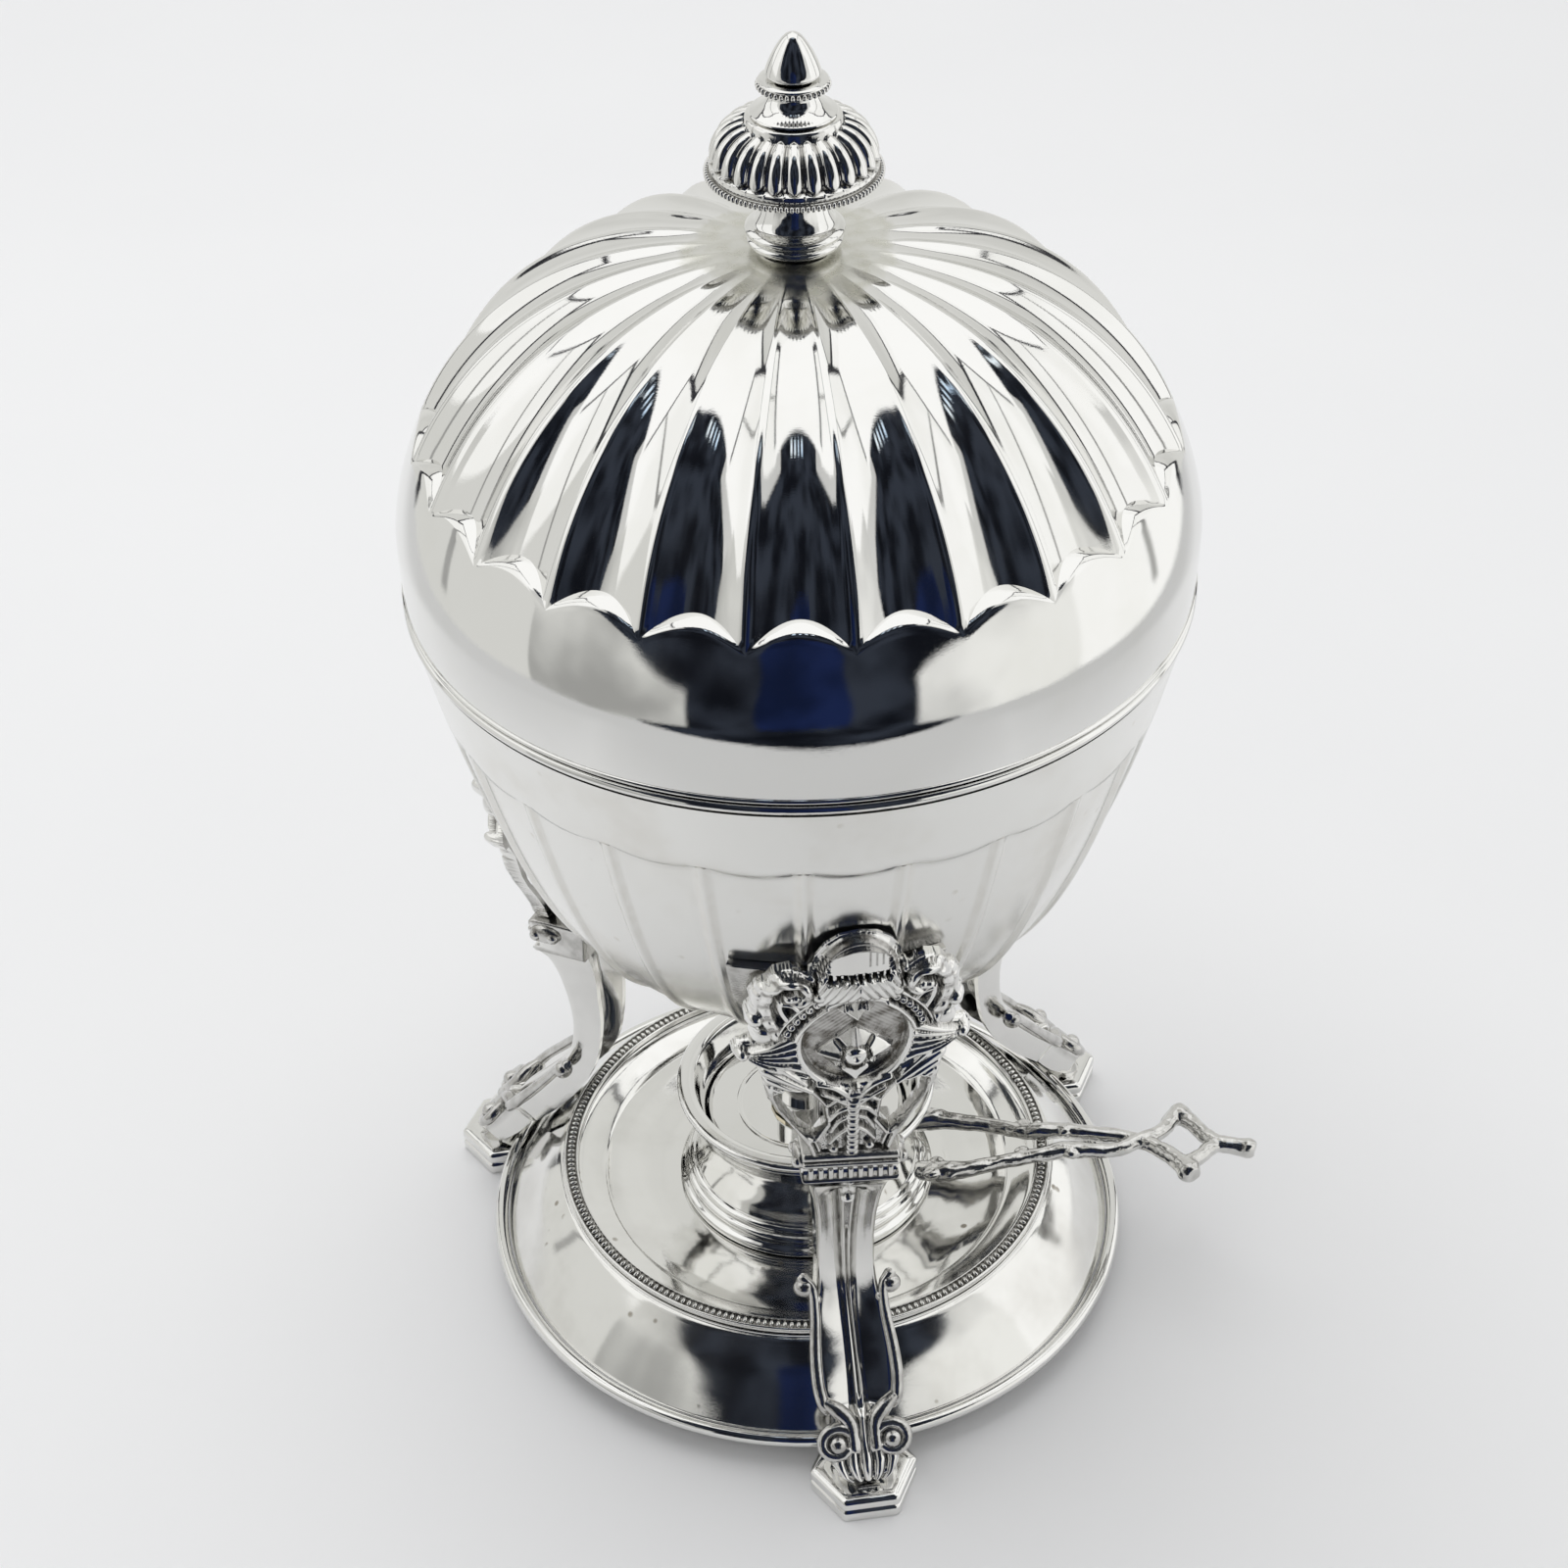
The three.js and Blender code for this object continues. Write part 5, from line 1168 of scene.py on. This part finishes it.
def build_lug():
    """A plate that follows the bowl, on a web that joins it to the cartouche."""
    _, foot, top = extent("leg_lug_1")
    outline = rounded([(-0.75, -LUG_HEIGHT), (1.0, -LUG_HEIGHT, 0.4), (1.0, 0, 0.5), (-0.75, 0)], 4, top)
    section = []
    for a, b in zip(outline, np.roll(outline, -1, axis=0)):
        steps = 10 if abs(a[1] - b[1]) > 3 else 1
        section += [a + (b - a) * j / steps for j in range(steps)]
    section = np.array(section)
    middle = (section.min(axis=0) + section.max(axis=0)) / 2
    angles = np.radians(np.linspace(*LUG_WIDTH, 52))
    rows = []
    for angle in angles:
        ease = 0.25 if angle in (angles[0], angles[-1]) else 0.0
        offset, z = (middle + (section - middle) * [1 - ease, 1 - ease * 0.12]).T
        r = bowl_radius(z) + offset
        rows.append(np.stack([r * math.sin(angle), -r * math.cos(angle), z], axis=1))
    web = [(38.9, foot + 0.1), (47.7, foot + 0.1), (49.3, 80.4), (51.2, 97.0), (52.6, 104.5), (53.5, 108.5)]
    web += [(bowl_radius(z) + 0.35, z) for z in np.linspace(108.5, 88.5, 14)] + [(38.9, 86.0)]
    skin = joined([lofted(rows), bar(np.array(web), 5.4, 0.6)])
    # painted shade: the whole lug is painted evenly darker, in place of the darker reflection on its face
    leg_copies("lug", skin, "leg_lug", hollow=np.full(len(skin[0]), 0.6))


def build_plinth():
    """A stepped hexagon with rounded corners."""
    low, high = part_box("foot_plinth_1")
    middle = ((low[1] + high[1]) / 2 - AXIS[1]) / MM
    apothem = (high[1] - low[1]) / 2 / MM
    layers = [(0.5, 0.0), (0.12, 0.12), (0.0, 0.5), (0.0, 1.9), (0.12, 2.2), (0.5, 2.4), (0.55, 2.6), (0.5, 2.8),
              (0.1, 3.0), (0.0, 3.3), (0.0, 4.35), (0.15, 4.7), (0.6, 5.05), (1.1, 5.24), (2.2, 5.3)]
    rows = []
    for inset, z in layers:
        reach = apothem - inset
        rounding = min(1.1, reach * 0.3)
        corner = (reach - rounding) / math.cos(math.pi / 6)
        ring = []
        for a in np.radians(60 * np.arange(1, 7)):
            for b in a + np.radians(np.linspace(-30, 30, 6)):
                ring.append((corner * math.cos(a) + rounding * math.cos(b),
                             corner * math.sin(a) + rounding * math.sin(b) + middle, z))
        rows.append(np.array(ring))
    leg_copies("plinth", lofted(rows), "foot_plinth", POLISHED, sharp=50)


# ---- burner handle: two branches that cross, fork into a loop and meet in a tail ----

GRIP_HEIGHT, GRIP_RISE = 25.0, 1.1 / 65     # where it leaves the drum, and how it climbs outwards


def in_grip(x, y, dz, r=0.0):
    """A place as the camera sees the room: x to the right, y away; dz is from the grip's middle."""
    c, s = math.cos(TURN), math.sin(TURN)
    return x * c - y * s, x * s + y * c, GRIP_HEIGHT + GRIP_RISE * (x - 20) + dz, r


def melt(obj, voxel=0.24, ripple=0.085, grime=0.36):
    """Bars and knots melted into one uneven casting."""
    remesh = obj.modifiers.new("melt", "REMESH")
    remesh.mode = "VOXEL"
    remesh.voxel_size = voxel * MM
    remesh.use_smooth_shade = True
    ease = obj.modifiers.new("ease", "SMOOTH")
    ease.factor = 0.5
    ease.iterations = 3
    mesh = bpy.data.meshes.new_from_object(obj.evaluated_get(bpy.context.evaluated_depsgraph_get()))
    obj.modifiers.clear()
    obj.data = mesh
    points = vectors(mesh.vertices, "co") / MM
    x, y, z = points.T
    uneven = np.sin(x * 1.1 + 1.6 * np.sin(y * 0.9)) * np.sin(y * 1.4 + z * 1.2)
    uneven += 0.3 * np.sin(x * 2.6 + z * 2.0) * np.sin(y * 2.9)
    points += vectors(mesh.vertex_normals, "vector") * (uneven * ripple)[:, None]
    mesh.vertices.foreach_set("co", (points * MM).ravel())
    faces = [tuple(polygon.vertices) for polygon in mesh.polygons]
    paint(mesh, np.clip(hollow_of((points, faces), 0.3) + grime, 0, 1))
    mesh.shade_smooth()


def build_handle():
    branches = [
        ([(20.6, 2.6, 0, 2.2), (24.0, 3.0, 0.3, 2.3), (28.8, 2.2, 0.2, 1.7), (35.0, 1.2, 0, 1.5),
          (41.2, -0.6, 0, 1.55), (45.0, -1.0, 0.2, 1.8), (49.3, -1.0, 0.2, 1.6), (55.0, -1.8, 0, 1.6),
          (59.8, -2.6, 0, 1.45), (64.1, -4.3, 0, 1.5), (67.6, -6.6, 0, 1.6), (70.6, -9.8, 0, 1.9),
          (71.6, -11.2, 0, 2.2), (72.1, -12.1, 0, 2.4)], 110),
        ([(22.0, -10.2, -0.2, 2.0), (26.0, -10.9, 0, 2.1), (31.2, -10.2, 0, 1.6), (38.4, -8.4, 0, 1.4),
          (45.0, -6.9, -0.1, 1.5), (49.8, -5.9, 0, 1.75), (55.0, -6.4, 0, 1.5), (59.8, -6.0, 0, 1.45),
          (63.4, -4.2, 0.3, 1.4), (67.9, -2.0, 0.3, 1.5), (70.3, 1.4, 0, 1.7), (72.0, 3.0, 0, 2.1)], 110),
        ([(72.0, 3.0, 0, 2.1), (74.3, 0.2, 0, 1.6), (76.2, -2.9, 0, 1.6), (78.3, -5.0, 0, 1.7),
          (81.2, -5.9, 0, 1.75), (83.2, -6.4, 0, 1.9), (83.9, -6.6, 0, 2.1)], 40),
        ([(71.2, -10.8, 0, 1.9), (74.3, -8.9, 0, 1.5), (76.4, -6.8, 0, 1.5), (78.5, -5.2, 0, 1.6)], 24),
    ]
    knots = [
        (25.6, 3.6, 1.0, (1.6, 1.2, 1.0)), (24.2, 2.2, 1.2, (1.3, 1.2, 0.9)), (23.8, -12.2, 0.9, (1.8, 1.1, 1.0)),
        (27.0, -12.2, 0.4, (1.5, 1.0, 1.0)), (24.6, -9.4, 1.1, (1.6, 1.2, 0.9)), (41.6, 0.9, 0.4, (1.7, 1.1, 0.9)),
        (49.5, -1.6, 0.6, (1.6, 1.4, 1.2)), (50.4, -7.1, 0.3, (1.7, 1.3, 1.1)), (41.0, -6.4, 0.3, (1.6, 1.1, 0.9)),
        (60.4, -5.6, 0.4, (1.3, 1.1, 1.0)), (64.4, -4.2, 0.3, (1.9, 1.7, 1.2)),
    ]
    parts = [tube([in_grip(*point) for point in points], count, 12) for points, count in branches]
    parts += [blob(size, in_grip(x, y, dz)[:3], 8, 12) for x, y, dz, size in knots]
    melt(piece("burner_grip", joined(parts), "burner", CAST, ["burner_handle"]))


# ---- camera, light, floor ----

PHOTO_SIZE, FOCAL_LENGTH = 1600, 3022.5         # pixels of the photograph
SENSOR = 36.0
CAMERA_PLACE = (-0.63, -405.56, 431.14)         # millimetres from the bowl's middle on the floor
CAMERA_PITCH, CAMERA_YAW, CAMERA_ROLL = math.radians(38.32), math.radians(-0.35), math.radians(-0.98)
BACKGROUND = (0.93, 0.93, 0.935, 1)


def build_camera():
    data = bpy.data.cameras.new("camera")
    data.lens = FOCAL_LENGTH / PHOTO_SIZE * SENSOR
    data.sensor_width = SENSOR
    data.clip_start = 0.01
    camera = bpy.data.objects.new("camera", data)
    bpy.context.scene.collection.objects.link(camera)
    level = math.cos(CAMERA_PITCH)
    forward = Vector((math.sin(CAMERA_YAW) * level, math.cos(CAMERA_YAW) * level, -math.sin(CAMERA_PITCH)))
    right = Vector((math.cos(CAMERA_YAW), -math.sin(CAMERA_YAW), 0.0))
    up = right.cross(forward)
    c, s = math.cos(CAMERA_ROLL), math.sin(CAMERA_ROLL)
    place = Matrix((right * c + up * s, -right * s + up * c, -forward)).transposed().to_4x4()
    place.translation = Vector(CAMERA_PLACE) * MM
    camera.matrix_world = Matrix.Translation(Vector(AXIS)) @ Matrix.Rotation(TURN, 4, "Z") @ place
    bpy.context.scene.camera = camera


def in_room(x, y, z):
    """A place given as the camera sees the room: x to the right, y away from the camera, in metres."""
    c, s = math.cos(TURN), math.sin(TURN)
    return (x * c - y * s + AXIS[0], x * s + y * c + AXIS[1], z)


def stage_object(name, points, material):
    """One flat face of the set."""
    mesh = bpy.data.meshes.new(name)
    mesh.from_pydata(points, [], [tuple(range(len(points)))])
    mesh.materials.append(material)
    obj = bpy.data.objects.new(name, mesh)
    bpy.context.scene.collection.objects.link(obj)
    return obj


def build_floor():
    material, n, shader, place = start_material("floor")
    shader.inputs["Roughness"].default_value = 0.85
    shader.inputs["Specular IOR Level"].default_value = 0.15
    mottle = n.noise(9.0, 3.0, place)
    lit = n.mix(mottle, (0.60, 0.595, 0.575, 1), (0.66, 0.655, 0.635, 1))
    seen = n.mix(mottle, (0.83, 0.83, 0.835, 1), (0.86, 0.86, 0.862, 1))
    # painted shadow: the sheet's colour is light round the object and darker to the sides and in front, where less
    # light falls
    spread = []
    for direction in ((math.cos(TURN), math.sin(TURN), 0.0), (-math.sin(TURN), math.cos(TURN), 0.0)):
        along = n.add("ShaderNodeVectorMath", operation="DOT_PRODUCT")
        n.fill(along.inputs, (place, direction))
        spread.append(n.math("SUBTRACT", along.outputs["Value"], Vector(AXIS).dot(Vector(direction))))
    right, away = spread
    aside = n.math("SUBTRACT", n.math("ABSOLUTE", right, 0.0), n.math("MULTIPLY", away, 0.22))
    aside = n.math("SUBTRACT", aside, 0.185)
    painted_shadow = n.ramp(n.math("MAXIMUM", aside, n.math("SUBTRACT", -0.09, away)), 0.0, 0.13)
    seen = n.mix(painted_shadow, seen, (0.68, 0.68, 0.68, 1))
    rays = n.add("ShaderNodeLightPath").outputs
    seen_by = n.math("MAXIMUM", rays["Is Camera Ray"], rays["Is Glossy Ray"])
    seen_by = n.math("MAXIMUM", seen_by, rays["Is Transmission Ray"])
    n.link(n.mix(seen_by, lit, seen), shader.inputs["Base Color"])
    # far away the sheet turns up into the pale background
    distance = n.add("ShaderNodeVectorMath", operation="LENGTH")
    n.link(place, distance.inputs[0])
    far = n.math("MULTIPLY", n.ramp(distance.outputs["Value"], 0.9, 2.6), seen_by)
    both = n.blend(far, shader, n.add("ShaderNodeEmission", Color=BACKGROUND, Strength=1.0))
    n.link(both.outputs[0], n.tree.nodes["Material Output"].inputs[0])
    reach = 30.0                 # metres, far enough that its edge is never seen
    rim = [(reach * math.cos(a), reach * math.sin(a), 0) for a in np.arange(96) * 2 * math.pi / 96]
    stage_object("floor", rim, material)


CARD_GLOW = 1.16
WHITE, OFF_WHITE = (1.0, 1.0, 0.995), (0.92, 0.92, 0.905)
GREY, DEEP_GREY = (0.68, 0.68, 0.66), (0.60, 0.60, 0.58)
DARK, DARKEST = (0.030, 0.036, 0.050), (0.005, 0.006, 0.009)
SEAM = (0.03, 0.03, 0.035)


def card(name, corners, low, high, noise_scale=3.0):
    """A sheet of the white set round the object, seen only in its polish; its colour drifts from low to high."""
    material, n, unused, place = start_material(name)
    n.tree.nodes.remove(unused)
    glow = n.add("ShaderNodeEmission", Strength=CARD_GLOW)
    drift = n.ramp(n.noise(noise_scale, 3.0, place), 0.35, 0.65)
    n.link(n.mix(drift, (*low, 1), (*high, 1)), glow.inputs["Color"])
    n.link(glow.outputs[0], n.tree.nodes["Material Output"].inputs[0])
    obj = stage_object(name, [in_room(*corner) for corner in corners], material)
    obj.visible_camera = False
    obj.visible_diffuse = False
    obj.visible_shadow = False
    obj.visible_transmission = False
    obj.visible_volume_scatter = False


def upright(a, b, foot, top):
    """Corners of an upright sheet from plan place a to plan place b."""
    return [(*a, foot), (*b, foot), (*b, top), (*a, top)]


def build_set():
    """A white tent round the object, open at the front, where the room is dark."""
    side, back, front, top = 0.46, 0.42, -0.16, 0.86
    foot, back_foot = 0.28, 0.64
    curved = np.linspace(0, 1, 13)
    for sign, name, low_wall, drape_low, drape_high in (
            (-1, "left", (0.66, 0.66, 0.64), (0.34, 0.34, 0.33), (0.66, 0.66, 0.64)),
            (1, "right", (0.96, 0.96, 0.95), (0.55, 0.55, 0.54), (0.85, 0.85, 0.83))):
        x = sign * side
        inner = x * 0.99
        wall = [(x, front, foot), (x, back, foot), (x, back, top), (x, front - 0.1, top)]
        fold = [(inner, 0.10, 0.05), (inner, 0.125, 0.05), (inner, 0.108, top), (inner, 0.09, top)]
        post = upright((x * 0.995, back - 0.05), (x * 0.995, back + 0.01), 0.0, top)
        edge = upright((inner, front), (inner, back), top - 0.04, top)
        card(f"set_{name}", wall, OFF_WHITE, WHITE, 2.0)
        card(f"set_{name}_foot", upright((x, front), (x, back), 0.0, foot), low_wall, low_wall, 2.0)
        card(f"set_{name}_post", post, SEAM, SEAM)
        card(f"set_{name}_fold", fold, (0.25, 0.25, 0.245), (0.4, 0.4, 0.39))
        card(f"set_{name}_edge", edge, SEAM, SEAM)
        drape = [(sign * (0.47 - 0.23 * t), front + 0.02 - 0.30 * t + 0.018 * math.sin(5 * t + sign)) for t in curved]
        hem = [(*plan, 0.46 - 0.30 * t + 0.03 * math.sin(7 * t + sign)) for plan, t in zip(drape, curved)]
        card(f"set_{name}_drape", [(*plan, 0.0) for plan in drape] + hem[::-1], drape_low, drape_high, 3.5)
        near = back - 0.004
        seam = [(sign * 0.10, near, 0.655), (x, near, 0.60), (x, near, 0.66), (sign * 0.10, near, 0.675)]
        card(f"set_seam_{name}", seam, SEAM, SEAM)
    card("set_back", upright((-side, back), (side, back), 0.0, back_foot), DEEP_GREY, GREY, 2.5)
    card("set_back_top", upright((-side, back), (side, back), back_foot, top), OFF_WHITE, WHITE, 2.5)
    brow = [(x, -0.12 - 0.5 * x * x, top) for x in np.linspace(side, -side, 25)]
    card("set_top", [(-side, back, top), (side, back, top)] + brow, WHITE, WHITE)
    card("set_opening", [(-0.95, -0.62, 0.0), (0.95, -0.62, 0.0), (0.95, -0.55, 0.85), (0.52, -0.42, 1.14),
                         (0.52, -0.04, 1.20), (-0.52, -0.04, 1.20), (-0.52, -0.42, 1.14), (-0.95, -0.55, 0.85)],
         DARKEST, DARK, 5.0)
    ragged = [(0.12 + 0.012 * math.sin(9 * t), -0.595 + 0.04 * 0.44 * t, 0.44 * t) for t in np.linspace(0, 1, 9)]
    card("set_navy", [(0.01 - x, y, z) for x, y, z in ragged] + [(x, y, z + 0.02) for x, y, z in ragged[::-1]],
         (0.005, 0.009, 0.030), (0.010, 0.018, 0.065), 6.0)
    sheet_end, low = 0.62, 0.0006    # the dark floor starts in front of the pale sheet, just above it
    edge = [(sheet_end * t, -0.29 - 0.27 * t * t + 0.010 * math.sin(t * 9), low) for t in np.linspace(-1, 1, 24)]
    card("set_floor_edge", edge + [(sheet_end, -0.66, low), (-sheet_end, -0.66, low)], DARKEST, DARK, 5.0)
    for x, wide in ((-0.10, 0.045), (-0.006, 0.03), (0.085, 0.045), (0.18, 0.05)):
        left, right = x - wide / 2, x + wide / 2
        pane = [(left, -0.31, 1.08), (right, -0.31, 1.08), (right, -0.21, 1.10), (left, -0.21, 1.10)]
        card(f"set_pane_{int((x + 0.1) * 1000)}", pane, (0.50, 0.72, 1.0), (0.85, 0.93, 1.0))


def build_key_light():
    """A broad soft light behind the object; the polish sees the set instead of it."""
    data = bpy.data.lights.new("key", "AREA")
    data.shape = "RECTANGLE"
    data.size, data.size_y = 1.2, 1.2
    data.energy = 6.5
    light = bpy.data.objects.new("key", data)
    bpy.context.scene.collection.objects.link(light)
    light.location = in_room(-0.18, 0.28, 1.2)
    aim = Vector(in_room(0, 0, 0.1)) - light.location
    light.rotation_euler = aim.to_track_quat("-Z", "Y").to_euler()
    light.visible_glossy = False


def build_world():
    """Soft white light all round; the polish sees a greyer room."""
    world = bpy.data.worlds.new("studio")
    bpy.context.scene.world = world
    n = Nodes(world)
    n.tree.nodes.clear()
    split = n.add("ShaderNodeSeparateXYZ", Vector=n.add("ShaderNodeTexCoord").outputs["Generated"])
    height = n.ramp(split.outputs[2], 0.0, 0.9)
    room = n.mix(height, (0.80, 0.80, 0.79, 1), (0.66, 0.66, 0.65, 1))
    reflected = n.add("ShaderNodeBackground", Color=room, Strength=1.0)
    light = n.add("ShaderNodeBackground", Color=(0.96, 0.965, 0.97, 1), Strength=0.72)
    behind = n.add("ShaderNodeBackground", Color=BACKGROUND, Strength=1.0)
    rays = n.add("ShaderNodeLightPath").outputs
    unseen = n.blend(rays["Is Glossy Ray"], light, reflected)
    both = n.blend(rays["Is Camera Ray"], unseen, behind)
    n.link(both.outputs[0], n.add("ShaderNodeOutputWorld").inputs[0])


# ---- put it together ----

build_lid()
build_finial()
build_bowl()
build_tray()
build_burner()
build_rack()
build_cartouche()
build_column()
build_lug()
build_plinth()
build_handle()

# the small CAD pieces that are shown as they are
plain = {"finial_stud": BRASS, "finial_nut": BRASS, "burner_wick_tube": BRASS, "burner_wick": COTTON,
         "rack_hub": RACK, "rack_cross": RACK}
for name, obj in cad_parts.items():
    for place in obj.material_slots:
        place.link = "OBJECT"
        place.material = plain.get(name, CAST)

build_camera()
build_floor()
build_set()
build_world()
build_key_light()
